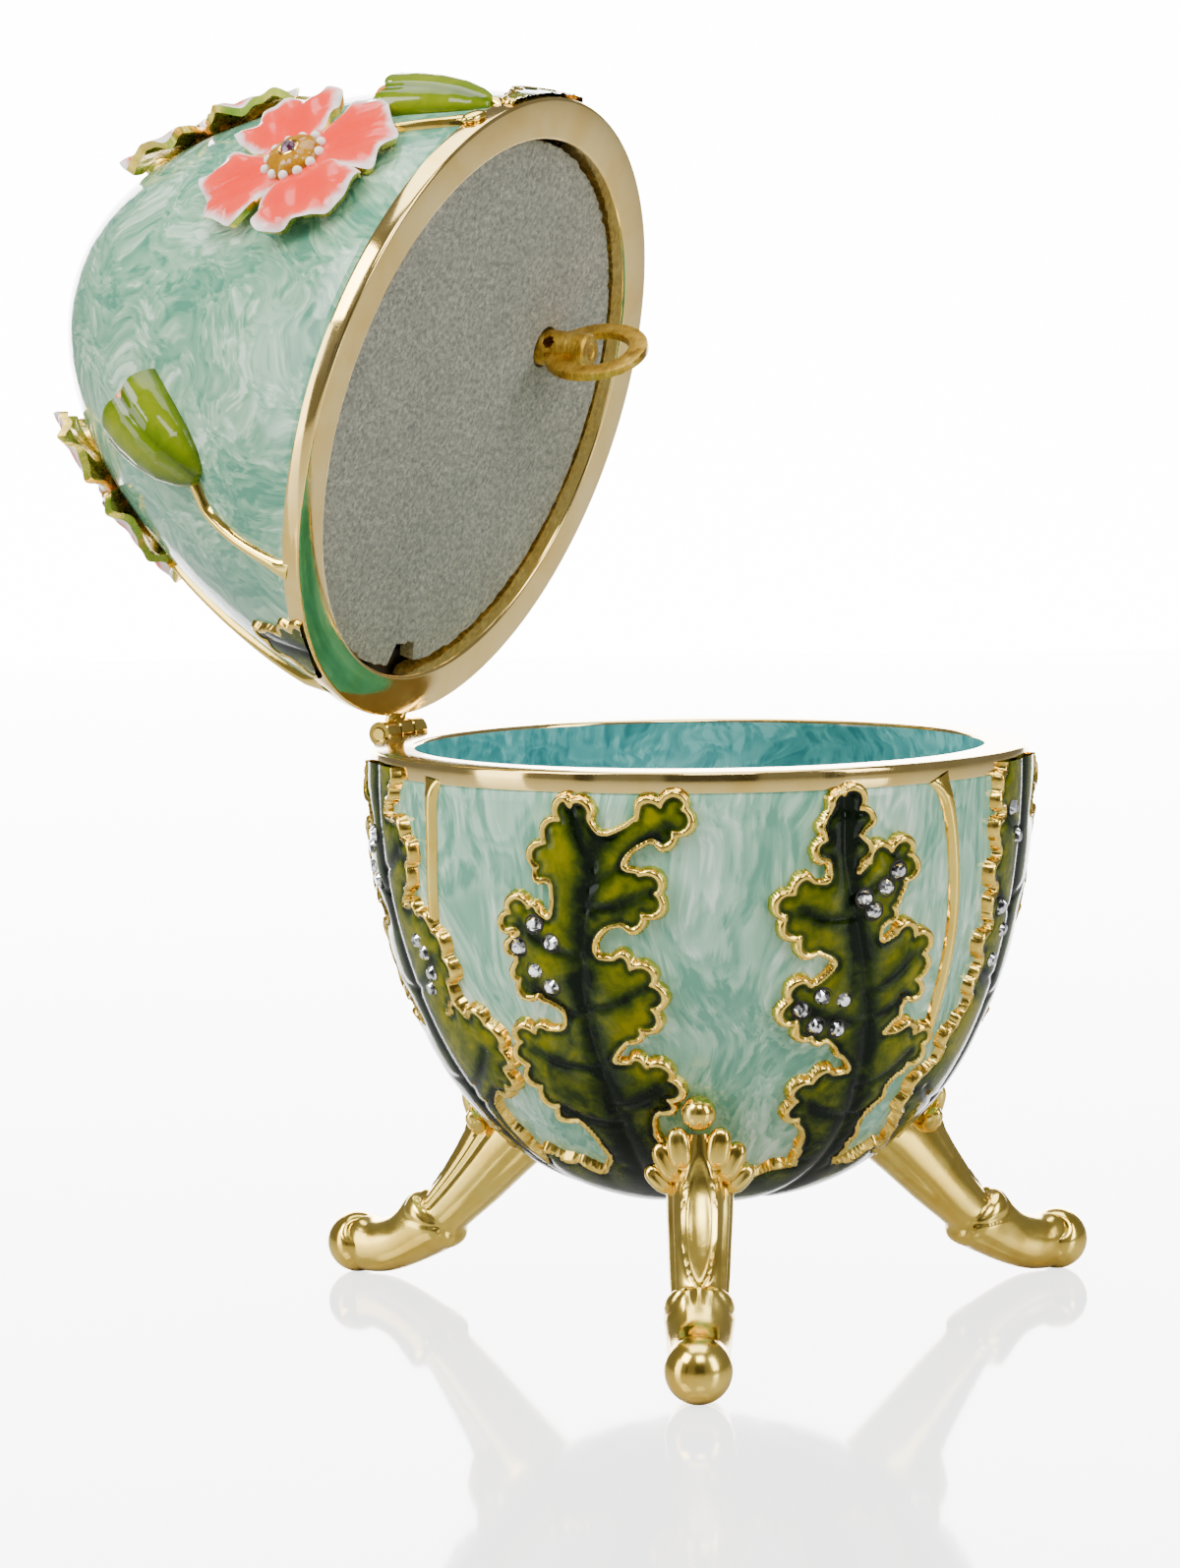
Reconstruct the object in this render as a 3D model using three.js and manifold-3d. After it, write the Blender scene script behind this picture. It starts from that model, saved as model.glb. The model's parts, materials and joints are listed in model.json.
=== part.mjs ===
// Jewelled egg trinket box: an enamelled half-egg bowl on three cabriole legs, with a hinged
// half-egg lid that stands open. Millimetres, +Z up, the hinge at the back (+Y).
// Angles round the egg are in degrees, counter-clockwise from above, and start at the hinge.
// Depths run from a rim towards the pole of its half, so both halves share the same helpers.
import * as THREE from 'three';
import { mergeVertices } from 'three/addons/utils/BufferGeometryUtils.js';
import Module from 'manifold-3d';

const wasm = await Module();
wasm.setup();

// ---- driving dimensions -------------------------------------------------------------------
const rimHeight = 58;          // parting plane above the floor
const eggRadius = 33;          // outer radius of both rims
const openingRadius = 28.6;    // inner radius of both rims
const wall = 3;                // wall at the poles
const closedGap = 0.3;         // between the two rims when the lid is shut
const bandHeight = 2;          // plain gold band round each rim
const bandStep = 0.25;         // band stands this far out of the enamel
const openAngle = 72.6;        // lid, from shut to its stop

const relief = 0.9;            // leaves above the enamel
const reliefRoot = 0.6;        // how deep a raised form is rooted in the wall
const stemLift = 0.6;
const stemWidth = 1.1;
const leafBaseDepth = 37.5;    // below this the leaves run together

const hingeRadius = 34.65;     // hinge axis, from the egg's axis
const knuckleRadius = 1.3;
const knuckleLength = 2.5;
const knuckleGap = 0.3;
const pinRadius = 0.6;
const boreRadius = 0.9;

const boardDepth = 1.7;        // felt-faced board, below the lid's rim
const boardThickness = 1.6;
const boardRadius = 28.1;
const ledgeRadius = 26.9;      // ledge in the lid that the board lies against
const ledgeThickness = 1.3;

const keyLean = 12;            // key shaft off square, towards the far rim
const keyTurn = 28;            // key plate, turned about its shaft
const keyOuter = 5.5;
const keyInner = 3.5;
const keyPlate = 0.9;
const keyHubRadius = 1.9;
const keyHubLength = 5.4;      // above the felt
const keyRoot = 1.3;           // below the felt
const keyPlace = { x: 13.9, y: -6.2 };

const legCount = 3;
const firstLeg = -5;           // degrees
const footRadius = 3.25;
const footCentre = { r: 42.8, z: 3.0 };
const seatGap = 0.3;

const stoneRadius = 0.92;
const stoneHeight = 0.75;
const stoneGap = 0.3;

const roundSides = 48;
const smallest = 0.09;         // detail finer than this is merged away

// A half egg: radius = eggRadius * (1 - k^fullness)^roundness, with k = depth / poleDepth.
const bowlHalf = { poleDepth: 45.2, fullness: 2.06, roundness: 0.386, rimZ: rimHeight, up: -1 };
const lidHalf = { poleDepth: 47.7, fullness: 1.445, roundness: 0.491, rimZ: rimHeight + closedGap, up: 1 };

// ---- colours ------------------------------------------------------------------------------
const gold = { color: 0xd9b45a, roughness: 0.2, metalness: 1 };
const enamel = { color: 0x9ccac0, roughness: 0.2, metalness: 0.1 };
const felt = { color: 0x8c8c8a, roughness: 1, metalness: 0 };
const brass = { color: 0xa9801f, roughness: 0.45, metalness: 1 };
const petal = { color: 0xf58a7e, roughness: 0.25, metalness: 0 };
const crystal = { color: 0xf4f6f4, roughness: 0.05, metalness: 0 };
const pinkCrystal = { color: 0xf0b8c8, roughness: 0.05, metalness: 0 };

// ---- meshes and solids --------------------------------------------------------------------
const object = new THREE.Group();

function weld(geometry) {
  const bare = new THREE.BufferGeometry();
  bare.setAttribute('position', geometry.getAttribute('position').clone());
  if (geometry.index) bare.setIndex(geometry.index.clone());
  const merged = mergeVertices(bare, 1e-4);
  const index = merged.index.array;
  const kept = [];
  for (let i = 0; i < index.length; i += 3) {
    const [a, b, c] = [index[i], index[i + 1], index[i + 2]];
    if (a !== b && b !== c && c !== a) kept.push(a, b, c);
  }
  merged.setIndex(kept);
  return faceOut(merged);
}

// Turns every triangle round if the closed mesh is inside out.
function faceOut(geometry) {
  const points = geometry.getAttribute('position');
  const index = Array.from(geometry.index.array);
  const [a, b, c] = [new THREE.Vector3(), new THREE.Vector3(), new THREE.Vector3()];
  let volume = 0;
  for (let i = 0; i < index.length; i += 3) {
    a.fromBufferAttribute(points, index[i]);
    b.fromBufferAttribute(points, index[i + 1]);
    c.fromBufferAttribute(points, index[i + 2]);
    volume += a.dot(b.cross(c));
  }
  if (volume < 0) {
    for (let i = 0; i < index.length; i += 3) [index[i], index[i + 1]] = [index[i + 1], index[i]];
    geometry.setIndex(index);
  }
  return geometry;
}

function solid(geometry) {
  const welded = weld(geometry);
  return new wasm.Manifold(new wasm.Mesh({
    numProp: 3,
    vertProperties: Float32Array.from(welded.getAttribute('position').array),
    triVerts: Uint32Array.from(welded.index.array),
  }));
}

function geometryOf(body) {
  const mesh = body.asOriginal().simplify(smallest).getMesh();
  const geometry = new THREE.BufferGeometry();
  geometry.setAttribute('position', new THREE.BufferAttribute(Float32Array.from(mesh.vertProperties), 3));
  geometry.setIndex(Array.from(mesh.triVerts));
  return geometry;
}

function place(name, geometry, look, parent) {
  const mesh = new THREE.Mesh(geometry, new THREE.MeshStandardMaterial(look));
  mesh.name = name;
  parent.add(mesh);
  return mesh;
}

// Lathe about Z from [radius, z] pairs.
function turned(profile, sides) {
  const points = profile.map(([radius, z]) => new THREE.Vector2(radius, z));
  return new THREE.LatheGeometry(points, sides).rotateX(Math.PI / 2);
}

// Closed body between two grids of points with the same rows and columns.
function slab(top, bottom) {
  const rows = top.length;
  const columns = top[0].length;
  const positions = [];
  for (const grid of [top, bottom]) {
    for (const row of grid) for (const point of row) positions.push(point.x, point.y, point.z);
  }
  const at = (side, row, column) => side * rows * columns + row * columns + column;
  const index = [];
  const quad = (a, b, c, d) => index.push(a, b, c, a, c, d);
  for (let i = 0; i + 1 < rows; i += 1) {
    for (let j = 0; j + 1 < columns; j += 1) {
      quad(at(0, i, j), at(0, i, j + 1), at(0, i + 1, j + 1), at(0, i + 1, j));
      quad(at(1, i, j), at(1, i + 1, j), at(1, i + 1, j + 1), at(1, i, j + 1));
    }
    quad(at(0, i, 0), at(0, i + 1, 0), at(1, i + 1, 0), at(1, i, 0));
    quad(at(0, i + 1, columns - 1), at(0, i, columns - 1), at(1, i, columns - 1), at(1, i + 1, columns - 1));
  }
  for (let j = 0; j + 1 < columns; j += 1) {
    quad(at(0, 0, j + 1), at(0, 0, j), at(1, 0, j), at(1, 0, j + 1));
    quad(at(0, rows - 1, j), at(0, rows - 1, j + 1), at(1, rows - 1, j + 1), at(1, rows - 1, j));
  }
  const geometry = new THREE.BufferGeometry();
  geometry.setAttribute('position', new THREE.Float32BufferAttribute(positions, 3));
  geometry.setIndex(index);
  return geometry;
}

// Closed body through a list of rings, each a loop of points, with flat ends.
function lofted(rings) {
  const sides = rings[0].length;
  const positions = [];
  for (const ring of rings) for (const point of ring) positions.push(point.x, point.y, point.z);
  const index = [];
  for (let i = 0; i + 1 < rings.length; i += 1) {
    for (let j = 0; j < sides; j += 1) {
      const next = (j + 1) % sides;
      const [a, b] = [i * sides + j, i * sides + next];
      index.push(a, b, b + sides, a, b + sides, a + sides);
    }
  }
  const last = (rings.length - 1) * sides;
  for (let j = 1; j + 1 < sides; j += 1) {
    index.push(0, j + 1, j);
    index.push(last, last + j, last + j + 1);
  }
  const geometry = new THREE.BufferGeometry();
  geometry.setAttribute('position', new THREE.Float32BufferAttribute(positions, 3));
  geometry.setIndex(index);
  return geometry;
}

// ---- the egg's surface --------------------------------------------------------------------
const radians = THREE.MathUtils.degToRad;

function radiusAt(half, depth, radius = eggRadius, poleDepth = half.poleDepth) {
  const k = THREE.MathUtils.clamp(depth / poleDepth, 0, 1);
  return radius * (1 - k ** half.fullness) ** half.roundness;
}

// Outward normal in the (radius, depth) plane.
function normalAt(half, depth) {
  const step = 0.05;
  const d = THREE.MathUtils.clamp(depth, step, half.poleDepth - 2 * step);
  const slope = (radiusAt(half, d + step) - radiusAt(half, d - step)) / (2 * step);
  const length = Math.hypot(1, slope);
  return { r: 1 / length, d: -slope / length };
}

// Direction from the axis at an angle round the egg.
function outward(angle) {
  return new THREE.Vector3(-Math.sin(radians(angle)), Math.cos(radians(angle)), 0);
}

// A point on a half, lifted along its normal. Depths just past the rim carry straight on.
function onEgg(half, angle, depth, lift = 0) {
  const normal = normalAt(half, depth);
  const radius = radiusAt(half, depth) + lift * normal.r;
  const z = half.rimZ + half.up * (depth + lift * normal.d);
  return outward(angle).multiplyScalar(radius).setZ(z);
}

// Local frame on a half: normal, towards the pole, and to the right as seen from outside.
function frameOnEgg(half, angle, depth, lift = 0) {
  const n = normalAt(half, depth);
  const normal = outward(angle).multiplyScalar(n.r).setZ(half.up * n.d);
  const pole = outward(angle).multiplyScalar(-n.d).setZ(half.up * n.r);
  const right = outward(angle + 90);
  return { origin: onEgg(half, angle, depth, lift), normal, pole, right };
}

// [radius, z] pairs of a half's profile between two depths, evenly stepped in angle.
function profile(half, fromDepth, toDepth, steps, radius = eggRadius, poleDepth = half.poleDepth, lift = 0) {
  const turnAt = (depth) => Math.asin((depth / poleDepth) ** (half.fullness / 2));
  const [start, end] = [turnAt(fromDepth), turnAt(toDepth)];
  const points = [];
  for (let i = 0; i <= steps; i += 1) {
    const depth = poleDepth * Math.sin(start + ((end - start) * i) / steps) ** (2 / half.fullness);
    const r = i === steps && toDepth === poleDepth ? 0 : radiusAt(half, depth, radius, poleDepth);
    const n = lift ? normalAt(half, depth) : { r: 0, d: 0 };
    const lifted = r === 0 ? 0 : r + lift * n.r;
    points.push([lifted, half.rimZ + half.up * (depth + (r === 0 ? lift : lift * n.d))]);
  }
  return points;
}

// ---- leaves and stems ---------------------------------------------------------------------
// A leaf side is a run of lobes [tip depth, reach at the tip, reach at the sinus below it].
function reachAt(side, depth, topDepth, baseDepth) {
  const first = side[0];
  const least = 0.3;
  if (depth < first[0]) return least + ((first[1] - least) * (depth - topDepth)) / (first[0] - topDepth);
  let lobe = 0;
  while (lobe + 1 < side.length && depth >= side[lobe + 1][0]) lobe += 1;
  const [tip, reach, sinus] = side[lobe];
  const end = lobe + 1 < side.length ? side[lobe + 1][0] : baseDepth;
  const rise = lobe + 1 < side.length ? lobeRise : 0;
  const s = THREE.MathUtils.clamp((depth - tip) / (end - rise - tip), 0, 1);
  return sinus + (reach - sinus) * (1 - s ** lobeFall);
}
const lobeRise = 0.9;          // height over which a lobe springs out of its sinus
const lobeFall = 2.2;          // how long a lobe keeps its width
const leafBase = 39.5;

const forkedLeaf = {
  top: 2.8,
  left: [[6.8, 4.6, 3.8], [13.3, 8.5, 3.6], [26, 8.8, 2.6]],
  right: [[7.4, 4, 3.2], [11.3, 6.8, 0.6], [19.9, 5.4, 0.8], [29.7, 5.8, 2.2]],
  fork: { top: 3, tipReach: 9.2, rootDepth: 7.6 },
  stones: [[-5.8, 14.7], [-7.4, 17], [-4.1, 16.4], [-6, 19.2], [-4.5, 20.7]],
};
const plainLeaf = {
  top: 2.1,
  left: [[7.2, 3.5, 3.2], [11.7, 7.4, 3.2], [21.8, 7.7, 1.3], [31.2, 5.6, 2.5]],
  right: [[4.3, 1.3, 1], [8.4, 6, 1.7], [16.8, 6.5, 2.2], [27.3, 7.9, 2]],
  stones: [
    [4.1, 10], [2.6, 11.5], [0.2, 12.4], [1.1, 13.9],
    [-6.3, 23], [-4.5, 21.6], [-2.4, 22.2], [-5.1, 24.9], [-3, 25.1],
  ],
};
const tallLeaf = {
  top: -0.2,
  left: [[3, 3.6, 3], [8.6, 6.6, 3.6], [14.5, 7.2, 3], [26.5, 8, 2.6]],
  right: [[1.5, 3.6, 2.2], [7.4, 6, 3.6], [16.8, 6.9, 4.6], [26.6, 7.9, 2]],
  stones: [[-3.2, 9], [-1.6, 10.3], [-4.4, 11.4], [-2.4, 12.9], [2.6, 17.6], [4, 18.8], [3.6, 20.8], [2, 22.3]],
};
const tallForkedLeaf = {
  top: -0.2,
  left: [[2.8, 6.8, 5.6], [13.3, 8.5, 6], [27, 8.8, 2.6]],
  right: [[2.6, 5, 3.2], [11.3, 6.8, 1.4], [19.9, 5.4, 1.6], [29.7, 5.8, 2.2]],
  stones: [[-5.8, 5.4], [-4.2, 8.3], [-6.2, 15.2], [-4.6, 18.4], [-6.4, 20.6]],
};
const hiddenStones = 5;        // on each leaf at the back
const leaves = [
  { name: 'left_leaf', form: tallLeaf, at: 43, lean: 15 },
  { name: 'front_left_leaf', form: forkedLeaf, at: 97, lean: 0 },
  { name: 'front_right_leaf', form: plainLeaf, at: 140, lean: 12 },
  { name: 'right_leaf', form: tallForkedLeaf, at: 196, lean: -7 },
  { name: 'back_right_leaf', form: plainLeaf, at: 244, lean: 12 },
  { name: 'back_leaf', form: forkedLeaf, at: 292, lean: 0 },
  { name: 'back_left_leaf', form: forkedLeaf, at: 335, lean: 0 },
];

function midribAngle(leaf, depth) {
  return leaf.at + (leaf.lean * depth) / 38;
}

function leafAngle(leaf, depth, offset) {
  const radius = Math.max(radiusAt(bowlHalf, depth), 1);
  return midribAngle(leaf, depth) + THREE.MathUtils.radToDeg(offset / radius);
}

// Raised strip on a half: rows of [depth, left offset, right offset] from a midline.
function strip(half, rows, angleOf, lift) {
  const layer = (height) => rows.map(([depth, left, right]) => (
    [left, (left + right) / 2, right].map((offset) => onEgg(half, angleOf(depth, offset), depth, height))
  ));
  return slab(layer(lift), layer(-reliefRoot));
}

// Depths at which a leaf's outline turns, with no step longer than rowStep.
function outlineDepths(form) {
  const rowStep = 3.4;
  const marks = new Set([form.top, leafBase]);
  for (const side of [form.left, form.right]) {
    side.forEach(([tip], i) => {
      marks.add(tip);
      if (i > 0) marks.add(tip - lobeRise);
    });
  }
  const sorted = [...marks].sort((a, b) => a - b);
  const depths = [sorted[0]];
  for (const mark of sorted.slice(1)) {
    const last = depths[depths.length - 1];
    if (mark - last < 0.35) continue;
    const extra = Math.ceil((mark - last) / rowStep);
    for (let i = 1; i <= extra; i += 1) depths.push(last + ((mark - last) * i) / extra);
  }
  return depths;
}

function leafBody(leaf) {
  const { form } = leaf;
  const angleOf = (depth, offset) => leafAngle(leaf, depth, offset);
  const rows = outlineDepths(form).map((depth) => [
    depth,
    -reachAt(form.left, depth, form.top, leafBase),
    reachAt(form.right, depth, form.top, leafBase),
  ]);
  let body = solid(strip(bowlHalf, rows, angleOf, relief));
  if (form.fork) {
    const { top, tipReach, rootDepth } = form.fork;
    const tine = [
      [top, tipReach - 0.9, tipReach],
      [(top + rootDepth) / 2 + 0.5, 2.2, tipReach - 1],
      [rootDepth, 1, 4],
    ];
    body = body.add(solid(strip(bowlHalf, tine, angleOf, relief)));
  }
  return body;
}

// A raised gold line through [angle, depth] stations.
function stem(half, stations, width = stemWidth) {
  const curve = new THREE.CatmullRomCurve3(stations.map(([angle, depth]) => new THREE.Vector3(angle, depth, 0)));
  const steps = (stations.length - 1) * 2;
  const rows = curve.getPoints(steps).map((p) => {
    const half2 = THREE.MathUtils.radToDeg(width / 2 / radiusAt(half, p.y));
    return [p.y, p.x - half2, p.x + half2];
  });
  return solid(strip(half, rows, (depth, angle) => angle, stemLift));
}

// ---- bowl ---------------------------------------------------------------------------------
const bowlStems = [
  [[64.5, 1], [63.3, 8], [60.4, 16.5]],
  [[160, 1], [164.5, 9.9], [166.6, 19.3], [166.8, 27.6]],
  [[214, 1], [212, 12], [206, 24]],
  [[270, 1], [268, 10], [264, 21]],
  [[24, 1], [27, 12], [33, 23]],
];

function shellBody(half, innerProfile) {
  const { rimZ, up } = half;
  const bandEnd = bandHeight + bandStep;
  const outer = profile(half, bandEnd, half.poleDepth, 9, eggRadius - bandStep);
  return solid(turned([
    ...innerProfile,
    [openingRadius, rimZ],
    [eggRadius, rimZ],
    [eggRadius, rimZ + up * bandHeight],
    ...outer,
  ], roundSides));
}

function hingeNotch(up) {
  const notch = new THREE.BoxGeometry(notchWidth, notchReach * 2, notchHeight * 2);
  return solid(notch.translate(0, eggRadius, rimHeight + up * 0.15));
}
const notchWidth = 9.6;
const notchReach = 1.7;
const notchHeight = 1.9;

function bowlBody() {
  const innerPole = bowlHalf.poleDepth - wall;
  const inner = profile(bowlHalf, 0, innerPole, 7, openingRadius, innerPole).reverse();
  inner.pop();
  const capEdge = profile(bowlHalf, leafBaseDepth, bowlHalf.poleDepth, 4, eggRadius, bowlHalf.poleDepth, relief);
  const capBack = profile(bowlHalf, leafBaseDepth, bowlHalf.poleDepth, 4, eggRadius, bowlHalf.poleDepth, -reliefRoot);
  let body = shellBody(bowlHalf, inner);
  body = body.add(solid(turned([...capBack.reverse(), ...capEdge], roundSides)));
  for (const leaf of leaves) body = body.add(leafBody(leaf));
  for (const line of bowlStems) body = body.add(stem(bowlHalf, line));
  return body.subtract(hingeNotch(-1));
}

// ---- legs ---------------------------------------------------------------------------------
// Stations down a leg: outer and inner point [radius, z] in the leg's plane, half width.
const legStations = [
  { outer: [26.3, 23.4], inner: [22.8, 22.6], width: 1.3 },
  { outer: [26.9, 21.2], inner: [18.4, 20], width: 2.4 },
  { outer: [27.4, 18.2], inner: [15.4, 17.4], width: 3.2 },
  { outer: [28.7, 15.4], inner: [18.4, 15], width: 3.2 },
  { outer: [30.5, 12.7], inner: [21.9, 12.1], width: 3 },
  { outer: [32.4, 10.3], inner: [25.7, 8.8], width: 2.8 },
  { outer: [34, 8.6], inner: [29.5, 5.8], width: 2.6 },
  { outer: [34.9, 9.3], inner: [30.2, 4.2], width: 3.3 },
  { outer: [36.7, 7.6], inner: [32.8, 2.7], width: 3.3 },
  { outer: [38.2, 6.3], inner: [35.8, 1.4], width: 3 },
  { outer: [40.2, 6.1], inner: [38.6, 0.5], width: 3 },
  { outer: [42, 6], inner: [41.4, 0.3], width: 2.6 },
];
// Section from the front ridge round: how far each point stands from the leg's core.
const legSection = [1.06, 0.92, 1.05, 1, 0.98, 0.96, 0.94, 0.96, 0.98, 1, 1.05, 0.92];
const finial = { r: 26.2, z: 24.6, radius: 1.7 };
const sprig = { r: 25.4, z: 20.2, side: 2.2, size: [1.5, 1.2, 2.9] };

// The leg stands in the XZ plane, with the egg's axis at x = 0.
function legRing({ outer, inner, width }) {
  const [cx, cz] = [(outer[0] + inner[0]) / 2, (outer[1] + inner[1]) / 2];
  const [hx, hz] = [(outer[0] - inner[0]) / 2, (outer[1] - inner[1]) / 2];
  return legSection.map((stand, i) => {
    const turn = (2 * Math.PI * i) / legSection.length;
    const [along, across] = [Math.cos(turn) * stand, Math.sin(turn) * stand];
    return new THREE.Vector3(cx + hx * along, width * across, cz + hz * along);
  });
}

// The bowl's outside with a gap, so that a leg can be cut to lie against it.
function legSeat() {
  const outer = [
    ...profile(bowlHalf, 20, leafBaseDepth - 2.5, 4, eggRadius, bowlHalf.poleDepth, seatGap),
    ...profile(bowlHalf, leafBaseDepth - 1, bowlHalf.poleDepth, 6, eggRadius, bowlHalf.poleDepth, relief + seatGap),
  ];
  return solid(turned([[0, outer[0][1]], ...outer], roundSides));
}

function legBody() {
  let body = solid(lofted(legStations.map(legRing)));
  const foot = new THREE.SphereGeometry(footRadius, 12, 8).rotateX(Math.PI / 2);
  body = body.add(solid(foot.translate(footCentre.r, 0, footCentre.z)));
  const ball = new THREE.SphereGeometry(finial.radius, 8, 6).rotateX(Math.PI / 2);
  body = body.add(solid(ball.translate(finial.r, 0, finial.z)));
  for (const side of [-1, 1]) {
    const blade = new THREE.SphereGeometry(1, 6, 4).scale(sprig.size[0], sprig.size[1], sprig.size[2]);
    blade.rotateX(side * -0.5).translate(sprig.r, side * sprig.side, sprig.z);
    body = body.add(solid(blade));
  }
  const floor = new THREE.BoxGeometry(80, 40, 10).translate(40, 0, -5);
  return body.subtract(solid(floor));
}

// ---- lid ----------------------------------------------------------------------------------
const lidStems = [
  [[60.2, 1], [61, 7], [63.6, 11.6], [68.6, 14.2]],
  [[155.5, 1], [152.6, 3.6], [147.5, 9.2]],
  [[163, 1], [162.6, 2], [162, 3.4]],
  [[27, 1], [25, 8], [22, 17], [22, 25]],
  [[205, 1], [203, 10], [194, 22], [184, 30]],
  [[262, 1], [261, 4], [259, 9]],
  [[313, 1], [312, 6], [310, 11]],
];
const lidLeafTips = [
  { at: 43, top: 8.6, reach: 3.2 },
  { at: 176, top: 5.2, reach: 3 },
  { at: 184, top: 3.2, reach: 2.4 },
];
const buds = [
  { at: 69.5, depth: 13.2, turn: 15 },
  { at: 162, depth: 2.6, turn: -6 },
  { at: 310, depth: 10.5, turn: 8 },
];
const bud = { length: 12, width: 9.4, height: 3.3, sink: 1 };

// Stations along a bud: share of its length, of its width and of its height.
const budStations = [[0, 0.2, 0.3], [0.14, 0.52, 0.62], [0.4, 0.82, 0.95], [0.72, 1, 1], [0.94, 0.94, 0.8]];

function budBody({ at, depth, turn }) {
  const base = frameOnEgg(lidHalf, at, depth);
  const along = base.pole.clone().applyAxisAngle(base.normal, radians(-turn));
  const across = new THREE.Vector3().crossVectors(along, base.normal);
  const arc = 6;
  const rings = budStations.map(([share, wide, high]) => {
    const reachUp = bud.length * share;
    const centre = onEgg(lidHalf, at + (turnDrift(turn) * reachUp), depth + reachUp * poleShare(depth, turn), 0);
    const ring = [];
    for (let i = 0; i <= arc; i += 1) {
      const swing = (Math.PI * i) / arc;
      const tooth = share > 0.9 ? bud.length * 0.1 * Math.cos(3 * swing) ** 2 : 0;
      ring.push(centre.clone()
        .addScaledVector(across, (Math.cos(swing) * bud.width * wide) / 2)
        .addScaledVector(base.normal, Math.sin(swing) * bud.height * high)
        .addScaledVector(along, tooth));
    }
    ring.push(centre.clone().addScaledVector(base.normal, -bud.sink).addScaledVector(across, -bud.width * wide * 0.3));
    ring.push(centre.clone().addScaledVector(base.normal, -bud.sink).addScaledVector(across, bud.width * wide * 0.3));
    return ring;
  });
  return solid(lofted(rings));
}

// Depth gained for each millimetre along a bud, and angle gained where it leans.
function poleShare(depth, turn) {
  return normalAt(lidHalf, depth + bud.length / 2).r * Math.cos(radians(turn));
}
function turnDrift(turn) {
  return THREE.MathUtils.radToDeg(Math.sin(radians(turn)) / 29);
}

function lidLeafTip({ at, top, reach }) {
  const rows = [[0.6, -reach, reach], [top * 0.45, -reach * 1.15, reach * 0.8], [top * 0.6, -reach * 0.7, reach], [top, -0.3, 0.3]];
  const angleOf = (depth, offset) => at + THREE.MathUtils.radToDeg(offset / radiusAt(lidHalf, depth));
  return solid(strip(lidHalf, rows, angleOf, relief));
}

function lidBody() {
  const innerPole = lidHalf.poleDepth - wall;
  const ledgeDepth = boardDepth + boardThickness + 0.3;
  const inner = profile(lidHalf, ledgeDepth + ledgeThickness + 1, innerPole, 6, openingRadius, innerPole).reverse();
  const z = (depth) => lidHalf.rimZ + depth;
  inner.push([ledgeRadius, z(ledgeDepth + ledgeThickness)], [ledgeRadius, z(ledgeDepth)], [openingRadius, z(ledgeDepth)]);
  let body = shellBody(lidHalf, inner);
  for (const line of lidStems) body = body.add(stem(lidHalf, line));
  for (const tip of lidLeafTips) body = body.add(lidLeafTip(tip));
  for (const each of buds) body = body.add(budBody(each));
  return body.subtract(hingeNotch(1));
}

// ---- hinge --------------------------------------------------------------------------------
const hingeZ = rimHeight + closedGap / 2;
const tabThickness = 1.1;

function cylinderX(radius, length, x, sides) {
  return new THREE.CylinderGeometry(radius, radius, length, sides).rotateZ(Math.PI / 2).translate(x, hingeRadius, hingeZ);
}

// A tab from the rim notch out to the hinge axis, below (-1) or above (1) the parting plane.
function tab(width, x, up) {
  const reach = hingeRadius - (eggRadius - notchReach + 0.3);
  const box = new THREE.BoxGeometry(width, reach, tabThickness);
  return box.translate(x, hingeRadius - reach / 2, hingeZ + up * (0.2 + tabThickness / 2));
}

function bowlHingeBody() {
  const span = knuckleLength + knuckleGap;
  const plate = new THREE.BoxGeometry(notchWidth - 0.6, 1, notchHeight - 0.5);
  let body = solid(plate.translate(0, eggRadius - notchReach + 0.8, rimHeight - 1.05));
  for (const side of [-1, 1]) {
    body = body.add(solid(cylinderX(knuckleRadius, knuckleLength, side * span, 16)));
    body = body.add(solid(tab(knuckleLength, side * span, -1)));
  }
  return body.subtract(solid(cylinderX(boreRadius, 4 * span, 0, 12)));
}

function lidKnuckleBody() {
  const body = solid(cylinderX(knuckleRadius, knuckleLength, 0, 16)).add(solid(tab(knuckleLength, 0, 1)));
  return body.subtract(solid(cylinderX(boreRadius, 4 * knuckleLength, 0, 12)));
}

// ---- felt-faced board and winding key -----------------------------------------------------
const keyHole = keyHubRadius + 0.5;

function boardGeometry() {
  const outline = new THREE.Shape();
  const nick = 5;              // degrees each side of the hinge
  outline.absarc(0, 0, boardRadius, radians(90 + nick), radians(450 - nick), false);
  outline.lineTo(0, boardRadius - 3);
  const hole = new THREE.Path();
  hole.absarc(keyPlace.x, keyPlace.y, keyHole, 0, 2 * Math.PI, true);
  outline.holes.push(hole);
  const board = new THREE.ExtrudeGeometry(outline, { depth: boardThickness, bevelEnabled: false, curveSegments: 14 });
  return board.translate(0, 0, lidHalf.rimZ + boardDepth);
}

// Built along +Z with the felt's face at z = 0, the shaft up and the plate in its XZ plane.
function keyBody() {
  const shaft = new THREE.CylinderGeometry(keyHubRadius, keyHubRadius, keyHubLength + keyRoot, 16).rotateX(Math.PI / 2);
  const outline = new THREE.Shape().absarc(0, 0, keyOuter, 0, 2 * Math.PI, false);
  outline.holes.push(new THREE.Path().absarc(0, 0, keyInner, 0, 2 * Math.PI, true));
  const plate = new THREE.ExtrudeGeometry(outline, { depth: keyPlate, bevelEnabled: false, curveSegments: 10 });
  plate.rotateX(Math.PI / 2).translate(0, keyPlate / 2, keyHubLength + 0.65);
  const pinHole = new THREE.CylinderGeometry(0.65, 0.65, 3 * keyHubRadius, 8).translate(0, 0, 1.2);
  const rod = solid(shaft.translate(0, 0, (keyHubLength - keyRoot) / 2));
  return rod.subtract(solid(pinHole)).add(solid(plate));
}

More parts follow.
